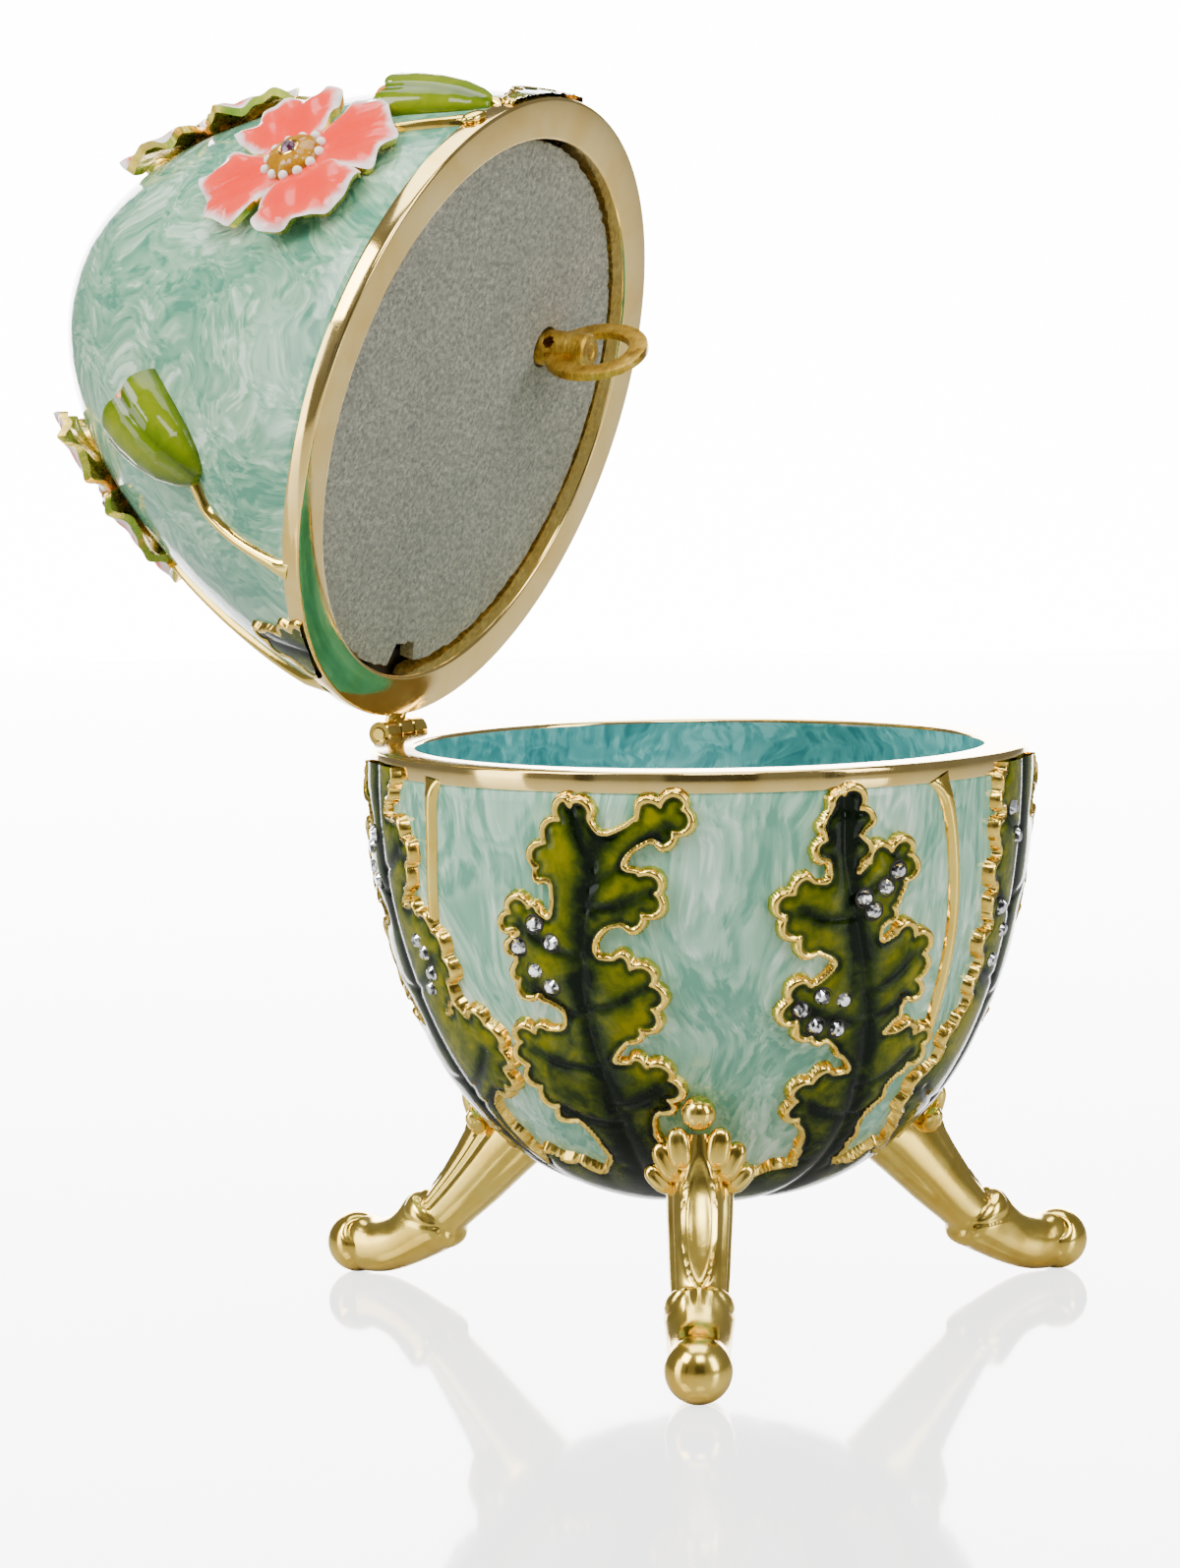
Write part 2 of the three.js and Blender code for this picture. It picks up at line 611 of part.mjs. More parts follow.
// ---- flowers and stones -------------------------------------------------------------------
const flowers = [
  { name: 'front_flower', at: 135.5, depth: 16, turn: 0 },
  { name: 'top_flower', at: 177, depth: 37, turn: 20 },
  { name: 'left_flower', at: 22, depth: 34, turn: -10 },
  { name: 'back_flower', at: 258, depth: 17, turn: 35 },
];
const flower = { radius: 11.2, thickness: 0.9, foot: 2.6, gap: 0.35, eye: 3, eyeHeight: 1.7, ruffle: 0.55 };

// Outline and height of a flower of four petals, by direction.
function petalReach(turn) {
  const lobe = Math.abs(Math.sin(2 * turn));
  return flower.radius * (0.5 + 0.5 * lobe ** 0.42);
}
function petalWave(turn) {
  return flower.ruffle * Math.sin(12 * turn + 0.8);
}

function flowerGeometry() {
  const sides = 24;
  const shares = [0.27, 0.6, 1];
  const centreTop = flower.gap + flower.thickness + flower.eyeHeight;
  const ring = (share, under) => {
    const points = [];
    for (let i = 0; i < sides; i += 1) {
      const turn = (2 * Math.PI * i) / sides;
      const reach = share === shares[0] ? flower.eye : petalReach(turn) * share;
      const cup = -0.006 * reach * reach + (share === 1 ? petalWave(turn) + 0.5 : 0);
      const height = flower.gap + cup + (share === shares[0] ? 0.1 : 0.45) + (under ? 0 : flower.thickness);
      points.push([reach * Math.cos(turn), reach * Math.sin(turn), height]);
    }
    return points;
  };
  const eyeRing = ring(shares[0], false).map(([x, y]) => [x * 0.75, y * 0.75, centreTop - 0.5]);
  const rings = [eyeRing, ...shares.map((s) => ring(s, false)), ...[...shares].reverse().map((s) => ring(s, true))];
  const positions = [0, 0, centreTop];
  for (const loop of rings) for (const point of loop) positions.push(...point);
  positions.push(0, 0, flower.gap);
  const last = positions.length / 3 - 1;
  const index = [];
  for (let i = 0; i < sides; i += 1) {
    const next = (i + 1) % sides;
    index.push(0, 1 + i, 1 + next);
    for (let k = 0; k + 1 < rings.length; k += 1) {
      const [a, b] = [1 + k * sides + i, 1 + k * sides + next];
      index.push(a, a + sides, b + sides, a, b + sides, b);
    }
    const start = 1 + (rings.length - 1) * sides;
    index.push(start + i, last, start + next);
  }
  const geometry = new THREE.BufferGeometry();
  geometry.setAttribute('position', new THREE.Float32BufferAttribute(positions, 3));
  geometry.setIndex(index);
  return geometry;
}

// A cut stone: point down, girdle, flat table. Its lowest point is at z = 0.
function stoneGeometry(radius = stoneRadius, height = stoneHeight) {
  const sides = 5;
  return turned([[0, 0], [radius, height * 0.55], [radius * 0.55, height], [0, height]], sides);
}

// Turns and moves a geometry built on z = 0 to stand on a half of the egg.
function seatOnEgg(geometry, half, angle, depth, lift, turn = 0) {
  const { origin, normal, pole, right } = frameOnEgg(half, angle, depth, lift);
  const side = half.up > 0 ? right : right.clone().negate();
  const basis = new THREE.Matrix4().makeBasis(side, pole, normal).setPosition(origin);
  return geometry.rotateZ(radians(turn)).applyMatrix4(basis);
}

// ---- assembly -----------------------------------------------------------------------------
function addBase(parent) {
  place('bowl', geometryOf(bowlBody()), enamel, parent);
  const legSolid = legBody().subtract(legSeat());
  const sideNames = ['left', 'front', 'right'];
  for (let i = 0; i < legCount; i += 1) {
    const leg = place(`leg_${sideNames[i]}`, geometryOf(legSolid), gold, parent);
    leg.rotation.z = radians(90 + firstLeg + (360 / legCount) * i);
  }
  place('bowl_hinge_leaf', geometryOf(bowlHingeBody()), gold, parent);
  place('hinge_pin', cylinderX(pinRadius, 3 * knuckleLength + 2 * knuckleGap + 0.4, 0, 10), brass, parent);
  for (const leaf of leaves) {
    const hidden = leaf.name.startsWith('back');
    const stones = hidden ? leaf.form.stones.slice(-hiddenStones) : leaf.form.stones;
    stones.forEach(([offset, depth], i) => {
      const geometry = seatOnEgg(stoneGeometry(), bowlHalf, leafAngle(leaf, depth, offset), depth, relief + stoneGap);
      place(`${leaf.name}_stone_${i + 1}`, geometry, crystal, parent);
    });
  }
}

// The lid is modelled shut, about the hinge, and its group is turned open.
function addLid(parent) {
  const lid = new THREE.Group();
  lid.position.set(0, hingeRadius, hingeZ);
  lid.rotation.x = radians(-openAngle);
  parent.add(lid);
  const shut = (name, geometry, look) => place(name, geometry.translate(0, -hingeRadius, -hingeZ), look, lid);
  shut('lid', geometryOf(lidBody()), enamel);
  shut('lid_hinge_knuckle', geometryOf(lidKnuckleBody()), gold);
  shut('felt_board', boardGeometry(), felt);
  for (const { name, at, depth, turn } of flowers) {
    shut(name, seatOnEgg(flowerGeometry(), lidHalf, at, depth, 0, turn), petal);
    const top = flower.gap + flower.thickness + flower.eyeHeight + stoneGap;
    shut(`${name}_stone`, seatOnEgg(stoneGeometry(), lidHalf, at, depth, top), pinkCrystal);
  }
  const key = place('winding_key', geometryOf(keyBody()), brass, lid);
  key.position.set(keyPlace.x, keyPlace.y - hingeRadius, lidHalf.rimZ + boardDepth - hingeZ);
  key.rotation.order = 'ZXY';
  key.rotation.set(radians(180 - keyLean), 0, 0);
  key.rotateZ(radians(keyTurn));
}

addBase(object);
addLid(object);

// The origin is on the floor, under the middle of the open box's outline.
object.updateMatrixWorld(true);
const box = new THREE.Box3().setFromObject(object, true);
object.position.set(-(box.min.x + box.max.x) / 2, -(box.min.y + box.max.y) / 2, 0);

export default object;
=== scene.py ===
import json
import math
import random

import bmesh
import bpy
import numpy as np
from mathutils import Matrix, Vector


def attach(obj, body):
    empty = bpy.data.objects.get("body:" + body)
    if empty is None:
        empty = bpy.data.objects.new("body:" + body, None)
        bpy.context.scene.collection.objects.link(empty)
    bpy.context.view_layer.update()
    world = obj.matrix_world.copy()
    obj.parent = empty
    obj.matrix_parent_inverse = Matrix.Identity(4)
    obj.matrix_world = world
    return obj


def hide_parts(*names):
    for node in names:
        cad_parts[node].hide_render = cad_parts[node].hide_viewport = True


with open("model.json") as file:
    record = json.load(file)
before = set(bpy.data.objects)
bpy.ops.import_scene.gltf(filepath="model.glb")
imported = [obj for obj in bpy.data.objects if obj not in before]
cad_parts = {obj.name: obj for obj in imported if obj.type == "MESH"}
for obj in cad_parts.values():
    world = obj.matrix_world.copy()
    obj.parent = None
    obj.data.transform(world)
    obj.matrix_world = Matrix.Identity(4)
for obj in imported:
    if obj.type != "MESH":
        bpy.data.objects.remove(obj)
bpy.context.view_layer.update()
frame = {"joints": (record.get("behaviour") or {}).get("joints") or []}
print("frame loaded")

# Shapes are worked out in millimetres round the egg's own axis, with the lid shut. finishPiece
# puts them in their place, in metres. Angles go counter-clockwise from above, from the hinge.
mm = 0.001
random.seed(7)

egg = {
    "rimRadius": 33.0,
    "openingRadius": 28.6,
    "wall": 3.0,
    "bandHeight": 2.0,
    "bandStep": 0.25,
    "shutGap": 0.3,
    "hingeReach": 34.65,
    "sides": 192,
}
bowlHalf = {"poleDepth": 45.2, "fullness": 2.06, "roundness": 0.386, "up": -1}
lidHalf = {"poleDepth": 47.7, "fullness": 1.445, "roundness": 0.491, "up": 1}

hinge = next(j for j in frame["joints"] if j["name"] == "lid_hinge")
hingeAt = Vector(hinge["pos_m"]) / mm
openAngle = math.radians(hinge["range_deg"][1])
bowlHalf["rimZ"] = hingeAt.z - egg["shutGap"] / 2
lidHalf["rimZ"] = hingeAt.z + egg["shutGap"] / 2
axisAt = Vector((hingeAt.x, hingeAt.y - egg["hingeReach"], 0))
bowlPlace = Matrix.Translation(axisAt)
lidPlace = (
    Matrix.Translation(hingeAt)
    @ Matrix.Rotation(-openAngle, 4, "X")
    @ Matrix.Translation(axisAt - hingeAt)
)


def radiusAt(half, depth):
    k = np.clip(np.asarray(depth, float) / half["poleDepth"], 0, 1)
    return egg["rimRadius"] * (1 - k ** half["fullness"]) ** half["roundness"]


# Points on a half, lifted off it, as rows of x, y, z.
def onEgg(half, angle, depth, lift=0.0):
    angle, depth, lift = np.broadcast_arrays(np.asarray(angle, float), depth, lift)
    swing = np.arcsin(np.clip(depth / half["poleDepth"], 0, 1) ** (half["fullness"] / 2))
    c = np.clip(np.cos(swing), 1e-4, 1)
    s = np.clip(np.sin(swing), 1e-4, 1)
    radius = egg["rimRadius"] * c ** (2 * half["roundness"])
    slopeR = -2 * half["roundness"] * egg["rimRadius"] * c ** (2 * half["roundness"] - 1) * s
    slopeD = half["poleDepth"] * 2 / half["fullness"] * s ** (2 / half["fullness"] - 1) * c
    size = np.hypot(slopeR, slopeD)
    radius = np.where(depth >= half["poleDepth"], 0, radius + lift * slopeD / size)
    z = half["rimZ"] + half["up"] * (depth - lift * slopeR / size)
    turn = np.radians(angle)
    return np.stack([-np.sin(turn) * radius, np.cos(turn) * radius, z], axis=-1)


# A frame on a half: x to the right seen from outside the lid, y to the pole, z outwards.
def seatOn(half, angle, depth, lift=0.0, turn=0.0):
    origin = Vector(onEgg(half, angle, depth, lift))
    normal = (Vector(onEgg(half, angle, depth, lift + 1)) - origin).normalized()
    side = Vector(onEgg(half, angle + 0.5, depth, lift)) - origin
    pole = normal.cross(side).normalized()
    if pole.z * half["up"] < 0:
        pole.negate()
    across = pole.cross(normal)
    seat = Matrix((across, pole, normal)).transposed().to_4x4()
    seat.translation = origin
    return seat @ Matrix.Rotation(math.radians(turn), 4, "Z")


# Length along a half's profile from its rim, and back again.
def arcTable(half):
    swing = np.linspace(0, math.pi / 2, 3000)
    depth = half["poleDepth"] * np.sin(swing) ** (2 / half["fullness"])
    radius = egg["rimRadius"] * np.cos(swing) ** (2 * half["roundness"])
    steps = np.hypot(np.diff(depth), np.diff(radius))
    return depth, np.concatenate([[0], np.cumsum(steps)])


for half in (bowlHalf, lidHalf):
    half["depths"], half["arcs"] = arcTable(half)


def arcOf(half, depth):
    return np.interp(depth, half["depths"], half["arcs"]) + np.minimum(depth, 0)


def depthOf(half, arc):
    return np.interp(arc, half["arcs"], half["depths"]) + np.minimum(arc, 0)


def gridPatch(columns, rows):
    bm = bmesh.new()
    bmesh.ops.create_grid(bm, x_segments=columns, y_segments=rows, size=1)
    flat = np.array([v.co for v in bm.verts])[:, :2]
    return bm, flat


def moveVerts(bm, points):
    for vert, point in zip(bm.verts, points):
        vert.co = point


def setShade(bm, name, values):
    layer = bm.verts.layers.float.get(name) or bm.verts.layers.float.new(name)
    for vert, value in zip(bm.verts, values):
        vert[layer] = float(value)


def profileWire(bm, profile):
    verts = [bm.verts.new((radius, 0, z)) for radius, z in profile]
    return [bm.edges.new(pair) for pair in zip(verts, verts[1:])]


# Full spin about Z of a profile of radius, z pairs. Face material by profile segment.
def spinProfile(profile, sides, slotOf=None):
    bm = bmesh.new()
    wire = profileWire(bm, profile)
    geom = list(bm.verts) + wire
    bmesh.ops.spin(
        bm, geom=geom, cent=(0, 0, 0), axis=(0, 0, 1), angle=2 * math.pi, steps=sides, use_merge=True
    )
    bmesh.ops.remove_doubles(bm, verts=bm.verts, dist=1e-4)
    if slotOf:
        for face in bm.faces:
            centre = face.calc_center_median()
            face.material_index = slotOf(centre.xy.length, centre.z, face.normal)
    bmesh.ops.recalc_face_normals(bm, faces=bm.faces)
    return bm


def sharpen(bm, degrees=38):
    limit = math.radians(degrees)
    for edge in bm.edges:
        if len(edge.link_faces) == 2 and edge.calc_face_angle(0) > limit:
            edge.smooth = False


def finishPiece(bm, name, materials, body, replaced=(), place=bowlPlace, sharpAt=38):
    bmesh.ops.transform(bm, matrix=Matrix.Scale(mm, 4) @ place, verts=bm.verts)
    if sharpAt:
        sharpen(bm, sharpAt)
    mesh = bpy.data.meshes.new(name)
    bm.to_mesh(mesh)
    bm.free()
    for material in materials:
        mesh.materials.append(material)
    for polygon in mesh.polygons:
        polygon.use_smooth = True
    piece = bpy.data.objects.new(name, mesh)
    bpy.context.scene.collection.objects.link(piece)
    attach(piece, body)
    if replaced:
        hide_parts(*replaced)
    return piece


# Adds the verts and faces of one mesh to another, with a transform and a material index.
def addMesh(bm, part, matrix=Matrix.Identity(4), slotIndex=None):
    bmesh.ops.transform(part, matrix=matrix, verts=part.verts)
    if slotIndex is not None:
        for face in part.faces:
            face.material_index = slotIndex
    scratch = bpy.data.meshes.new("scratch")
    part.to_mesh(scratch)
    part.free()
    bm.from_mesh(scratch)
    bpy.data.meshes.remove(scratch)


# Gives a sheet a back at new places, with walls between; the verts keep their own number.
def backSheet(bm, backPoints):
    number = bm.verts.layers.int.new("number")
    for i, vert in enumerate(bm.verts):
        vert[number] = i
    made = bmesh.ops.extrude_face_region(bm, geom=list(bm.faces), use_keep_orig=True)
    fresh = [g for g in made["geom"] if isinstance(g, bmesh.types.BMVert)]
    for vert in fresh:
        vert.co = backPoints[vert[number]]
    bmesh.ops.recalc_face_normals(bm, faces=bm.faces)
    bm.verts.layers.int.remove(number)


def ballMesh(radius, segments=24, rings=16):
    bm = bmesh.new()
    bmesh.ops.create_uvsphere(bm, u_segments=segments, v_segments=rings, radius=radius)
    return bm


# Catmull-Rom through points of any dimension.
def smoothLine(points, perSpan, closed=False):
    pts = np.asarray(points, float)
    count = len(pts)
    out = []
    spans = count if closed else count - 1
    for i in range(spans):
        ids = [i - 1, i, i + 1, i + 2]
        a, b, c, d = [pts[k % count] if closed else pts[min(max(k, 0), count - 1)] for k in ids]
        for t in np.arange(perSpan) / perSpan:
            square = (2 * a - 5 * b + 4 * c - d) * t**2
            cube = (3 * b - a - 3 * c + d) * t**3
            out.append(0.5 * (2 * b + (c - a) * t + square + cube))
    if not closed:
        out.append(pts[-1])
    return np.array(out)


class Nodes:
    def __init__(self, name):
        self.material = bpy.data.materials.new(name)
        self.material.use_nodes = True
        self.tree = self.material.node_tree
        self.shader = self.tree.nodes["Principled BSDF"]

    def add(self, kind, inputs=None, **settings):
        made = self.tree.nodes.new(kind)
        for key, value in settings.items():
            setattr(made, key, value)
        for key, value in (inputs or {}).items():
            self.feed(made.inputs[key], value)
        return made

    def feed(self, socket, value):
        if isinstance(value, bpy.types.NodeSocket):
            self.tree.links.new(value, socket)
        else:
            socket.default_value = value

    def math(self, operation, *values, clamp=False):
        made = self.add("ShaderNodeMath", operation=operation, use_clamp=clamp)
        for socket, value in zip(made.inputs, values):
            self.feed(socket, value)
        return made.outputs[0]

    def vector(self, operation, *values):
        made = self.add("ShaderNodeVectorMath", operation=operation)
        for socket, value in zip(made.inputs, values):
            self.feed(socket, value)
        return made.outputs[0]

    # Object coordinates in millimetres, from a place and turned back by an angle about X.
    def coordinates(self, at=(0, 0, 0), turnX=0.0, stretch=(1, 1, 1)):
        texture = self.add("ShaderNodeTexCoord")
        inputs = {
            "Vector": texture.outputs["Object"],
            "Location": tuple(Vector(at) * mm),
            "Rotation": (turnX, 0, 0),
            "Scale": tuple(mm * s for s in stretch),
        }
        return self.add("ShaderNodeMapping", inputs, vector_type="TEXTURE").outputs[0]

    def noise(self, vector, scale, detail=3.0, roughness=0.5, distortion=0.0):
        inputs = {
            "Vector": vector,
            "Scale": scale,
            "Detail": detail,
            "Roughness": roughness,
            "Distortion": distortion,
        }
        return self.add("ShaderNodeTexNoise", inputs)

    def ramp(self, value, stops):
        made = self.add("ShaderNodeValToRGB", {"Fac": value})
        elements = made.color_ramp.elements
        while len(elements) > 1:
            elements.remove(elements[0])
        elements[0].position, elements[0].color = stops[0][0], (*stops[0][1], 1)
        for position, colour in stops[1:]:
            elements.new(position).color = (*colour, 1)
        return made.outputs[0]

    def mix(self, factor, a, b):
        made = self.add("ShaderNodeMix", data_type="RGBA")
        sockets = [s for s in made.inputs if s.enabled]
        for socket, value in zip(sockets, (factor, a, b)):
            if isinstance(value, tuple):
                value = (*value, 1)
            self.feed(socket, value)
        return [s for s in made.outputs if s.enabled][0]

    def attribute(self, name):
        return self.add("ShaderNodeAttribute", attribute_name=name).outputs["Fac"]

    def step(self, value, low, high):
        inputs = {"Value": value, "From Min": low, "From Max": high}
        made = self.add("ShaderNodeMapRange", inputs, interpolation_type="SMOOTHSTEP")
        return made.outputs[0]

    def bump(self, height, strength, distance):
        inputs = {"Height": height, "Strength": strength, "Distance": distance * mm}
        return self.add("ShaderNodeBump", inputs).outputs[0]

    def finish(self, **inputs):
        names = {
            "colour": "Base Color", "metallic": "Metallic", "roughness": "Roughness",
            "normal": "Normal", "coat": "Coat Weight", "coatRoughness": "Coat Roughness",
            "ior": "IOR", "transmission": "Transmission Weight", "sheen": "Sheen Weight",
        }
        for key, value in inputs.items():
            if isinstance(value, tuple):
                value = (*value, 1)
            self.feed(self.shader.inputs[names[key]], value)
        return self.material


enamelLook = {
    "bowl": [(0.0, (0.12, 0.34, 0.23)), (0.25, (0.20, 0.45, 0.30)), (0.5, (0.31, 0.57, 0.39)),
             (0.75, (0.43, 0.68, 0.50)), (1.0, (0.66, 0.86, 0.70))],
    "lid": [(0.0, (0.08, 0.27, 0.175)), (0.25, (0.14, 0.36, 0.225)), (0.5, (0.225, 0.45, 0.28)),
            (0.75, (0.34, 0.57, 0.38)), (1.0, (0.58, 0.78, 0.60))],
    "inner": [(0.0, (0.035, 0.22, 0.23)), (0.35, (0.07, 0.34, 0.34)), (0.65, (0.11, 0.44, 0.42)),
              (1.0, (0.24, 0.66, 0.62))],
    "mass": 0.12,           # noise scales, per millimetre
    "strand": 0.95,
    "grain": 0.10,          # strands are squeezed to this along the axis
    "massContrast": 1.7,
    "strandContrast": 2.0,
    "lineContrast": 0.12,
    "lineCount": 64.0,
    "middleTone": 0.47,
    "roughness": 0.09,
}


# Marbled enamel: soft masses of colour drawn out into fine feathered strands along the flow.
def marbledEnamel(name, stops, place, turnX, stretch, size=1.0, drift=16.0, curl=3.5):
    look = enamelLook
    n = Nodes(name)
    at = n.coordinates(place, turnX, stretch)
    wander = n.vector("SUBTRACT", n.noise(at, 0.05 * size, 2.0, 0.5).outputs["Color"], (0.5, 0.5, 0.5))
    bent = n.vector("ADD", at, n.vector("MULTIPLY", wander, (drift, drift, drift)))
    swirl = n.noise(bent, 0.14 * size, 1.0, 0.5, 0.3).outputs["Color"]
    swirl = n.vector("SUBTRACT", swirl, (0.5, 0.5, 0.5))
    bent = n.vector("ADD", bent, n.vector("MULTIPLY", swirl, (curl, curl, curl)))
    mass = n.noise(bent, look["mass"] * size, 2.0, 0.45, 0.3).outputs["Fac"]
    drawn = n.vector("MULTIPLY", bent, (1.0, 1.0, look["grain"]))
    strand = n.noise(drawn, look["strand"] * size, 3.0, 0.6, 0.1).outputs["Fac"]
    flow = n.math("ADD", mass, n.math("MULTIPLY", strand, 0.2))
    lines = n.math("SINE", n.math("MULTIPLY", flow, look["lineCount"]))
    tone = n.math("MULTIPLY_ADD", n.math("SUBTRACT", mass, 0.5), look["massContrast"], look["middleTone"])
    tone = n.math("MULTIPLY_ADD", n.math("SUBTRACT", strand, 0.5), look["strandContrast"], tone)
    tone = n.math("MULTIPLY_ADD", lines, look["lineContrast"], tone)
    colour = n.ramp(tone, stops)
    wave = n.noise(at, 0.22, 2.0, 0.5).outputs["Fac"]
    normal = n.bump(wave, 0.18, 0.6)
    return n.finish(
        colour=colour, roughness=look["roughness"], coat=0.1, coatRoughness=0.04, metallic=0.0, ior=1.38,
        normal=normal
    )


rimLook = {"bright": (0.94, 0.68, 0.22), "shade": (0.86, 0.58, 0.15), "pale": (0.97, 0.74, 0.30)}
goldLook = {
    "bright": (0.97, 0.69, 0.13),
    "shade": (0.84, 0.53, 0.07),
    "pale": (0.99, 0.75, 0.18),
}


# Gold plate: polished, with duller clouds and fine pits.
def goldPlate(name, roughness, cloudSize=0.25, pits=0.25, worn=0.12, look=goldLook):
    n = Nodes(name)
    at = n.coordinates()
    cloud = n.noise(at, cloudSize, 3.0, 0.6, 0.4).outputs["Fac"]
    colour = n.ramp(cloud, [(0.3, look["shade"]), (0.5, look["bright"]), (0.75, look["pale"])])
    dull = n.step(cloud, 0.42, 0.72)
    rough = n.math("MULTIPLY_ADD", dull, worn, roughness)
    speck = n.noise(at, 2.6, 4.0, 0.65).outputs["Fac"]
    normal = n.bump(speck, pits, 0.06)
    return n.finish(colour=colour, metallic=1.0, roughness=rough, normal=normal)


leafLook = {
    "bright": (0.19, 0.18, 0.001),
    "light": (0.088, 0.105, 0.001),
    "mid": (0.022, 0.038, 0.001),
    "dark": (0.002, 0.006, 0.001),
    "borderInside": -0.16,
}


# Green enamel inside the leaf's edge, gold border outside it.
def leafEnamel(name):
    n = Nodes(name)
    edge = n.attribute("edge")
    shade = n.attribute("shade")
    at = n.coordinates()
    pool = n.noise(at, 0.26, 2.0, 0.5, 0.8).outputs["Fac"]
    cloud = n.noise(at, 0.8, 3.0, 0.6, 0.8).outputs["Fac"]
    blotch = n.math("MULTIPLY", n.math("SUBTRACT", pool, 0.5), 1.5)
    blotch = n.math("MULTIPLY_ADD", n.math("SUBTRACT", cloud, 0.5), 0.6, blotch)
    tone = n.math("ADD", n.math("SUBTRACT", shade, 0.12), blotch, clamp=True)
    stops = zip((0.0, 0.35, 0.7, 1.0), [leafLook[key] for key in ("dark", "mid", "light", "bright")])
    green = n.ramp(tone, list(stops))
    tint = n.ramp(cloud, [(0.3, goldLook["shade"]), (0.6, goldLook["bright"])])
    gilt = n.step(edge, leafLook["borderInside"] - 0.04, leafLook["borderInside"] + 0.04)
    colour = n.mix(gilt, green, tint)
    rough = n.math("MULTIPLY_ADD", gilt, 0.10, 0.07)
    speck = n.noise(at, 1.6, 3.0, 0.6).outputs["Fac"]
    normal = n.bump(speck, 0.16, 0.12)
    return n.finish(colour=colour, metallic=gilt, roughness=rough, normal=normal, ior=1.22)


petalLook = {
    "deep": (0.95, 0.035, 0.014),
    "salmon": (0.97, 0.075, 0.04),
    "pale": (0.97, 0.30, 0.23),
    "white": (0.93, 0.86, 0.82),
}


# Salmon petals with a ruffled white edge; edge runs from 0 at the edge inwards in millimetres.
def petalEnamel(name):
    n = Nodes(name)
    edge = n.attribute("edge")
    shade = n.attribute("shade")
    at = n.coordinates()
    cloud = n.noise(at, 0.5, 3.0, 0.55, 0.5).outputs["Fac"]
    tone = n.math("ADD", shade, n.math("MULTIPLY", n.math("SUBTRACT", cloud, 0.5), 0.5), clamp=True)
    salmon = n.ramp(tone, [(0.0, petalLook["deep"]), (0.45, petalLook["salmon"]), (1.0, petalLook["pale"])])
    wander = n.math("MULTIPLY_ADD", n.math("SUBTRACT", cloud, 0.5), 1.6, edge)
    inside = n.step(wander, 0.0, 0.95)
    colour = n.mix(inside, petalLook["white"], salmon)
    normal = n.bump(n.noise(at, 0.9, 3.0, 0.6).outputs["Fac"], 0.2, 0.15)
    return n.finish(colour=colour, roughness=0.16, coat=0.1, coatRoughness=0.08, ior=1.33, normal=normal)


def plainEnamel(name, stops, size=0.5, roughness=0.14):
    n = Nodes(name)
    at = n.coordinates()
    cloud = n.noise(at, size, 3.0, 0.6, 0.5).outputs["Fac"]
    colour = n.ramp(cloud, stops)
    normal = n.bump(n.noise(at, 1.2, 3.0, 0.6).outputs["Fac"], 0.15, 0.12)
    return n.finish(
        colour=colour, roughness=roughness, coat=0.1, coatRoughness=0.06, ior=1.35, normal=normal
    )


# Bud enamel: olive with lighter streaks, orange towards the tips.
def budEnamel(name):
    n = Nodes(name)
    shade = n.attribute("shade")
    tip = n.attribute("edge")
    at = n.coordinates()
    cloud = n.noise(at, 0.45, 3.0, 0.6, 0.6).outputs["Fac"]
    tone = n.math("ADD", shade, n.math("MULTIPLY", n.math("SUBTRACT", cloud, 0.5), 0.5), clamp=True)
    stops = [(0.0, (0.03, 0.055, 0.001)), (0.5, (0.115, 0.18, 0.002)), (1.0, (0.27, 0.31, 0.004))]
    green = n.ramp(tone, stops)
    wander = n.math("MULTIPLY_ADD", n.math("SUBTRACT", cloud, 0.5), 0.35, tip)
    colour = n.mix(n.step(wander, 0.62, 0.92), green, (0.75, 0.22, 0.02))
    normal = n.bump(cloud, 0.15, 0.2)
    return n.finish(colour=colour, roughness=0.09, coat=0.15, coatRoughness=0.04, ior=1.35, normal=normal)


# Wool felt: short crossed fibres, pale and dark specks.
def greyFelt(name):
    n = Nodes(name)
    at = n.coordinates(hingeAt, -openAngle)
    bend = n.vector("MULTIPLY", n.noise(at, 0.9, 3.0, 0.6).outputs["Color"], (2.2, 2.2, 2.2))
    bent = n.vector("ADD", at, bend)
    fibreA = n.noise(n.vector("MULTIPLY", bent, (6.5, 0.9, 2.0)), 1.0, 3.0, 0.7, 0.6).outputs["Fac"]
    fibreB = n.noise(n.vector("MULTIPLY", bent, (0.9, 6.0, 2.0)), 1.0, 3.0, 0.7, 0.6).outputs["Fac"]
    fibre = n.math("MAXIMUM", fibreA, fibreB)
    grain = n.noise(at, 5.0, 3.0, 0.8).outputs["Fac"]
    cloud = n.noise(at, 0.12, 3.0, 0.6).outputs["Fac"]
    mottle = n.noise(at, 1.7, 4.0, 0.75).outputs["Fac"]
    tone = n.math("MULTIPLY_ADD", n.math("SUBTRACT", fibre, 0.56), 2.2, 0.46)
    tone = n.math("MULTIPLY_ADD", n.math("SUBTRACT", grain, 0.5), 1.2, tone)
    tone = n.math("MULTIPLY_ADD", n.math("SUBTRACT", mottle, 0.5), 2.4, tone)
    tone = n.math("MULTIPLY_ADD", n.math("SUBTRACT", cloud, 0.5), 0.3, tone)
    stops = [(0.0, (0.13, 0.13, 0.10)), (0.5, (0.31, 0.30, 0.225)), (1.0, (0.58, 0.56, 0.42))]
    colour = n.ramp(tone, stops)
    height = n.math("ADD", n.math("MULTIPLY", fibre, 0.7), n.math("MULTIPLY", grain, 0.5))
    normal = n.bump(height, 0.8, 0.22)
    return n.finish(colour=colour, roughness=0.95, sheen=0.25, normal=normal)


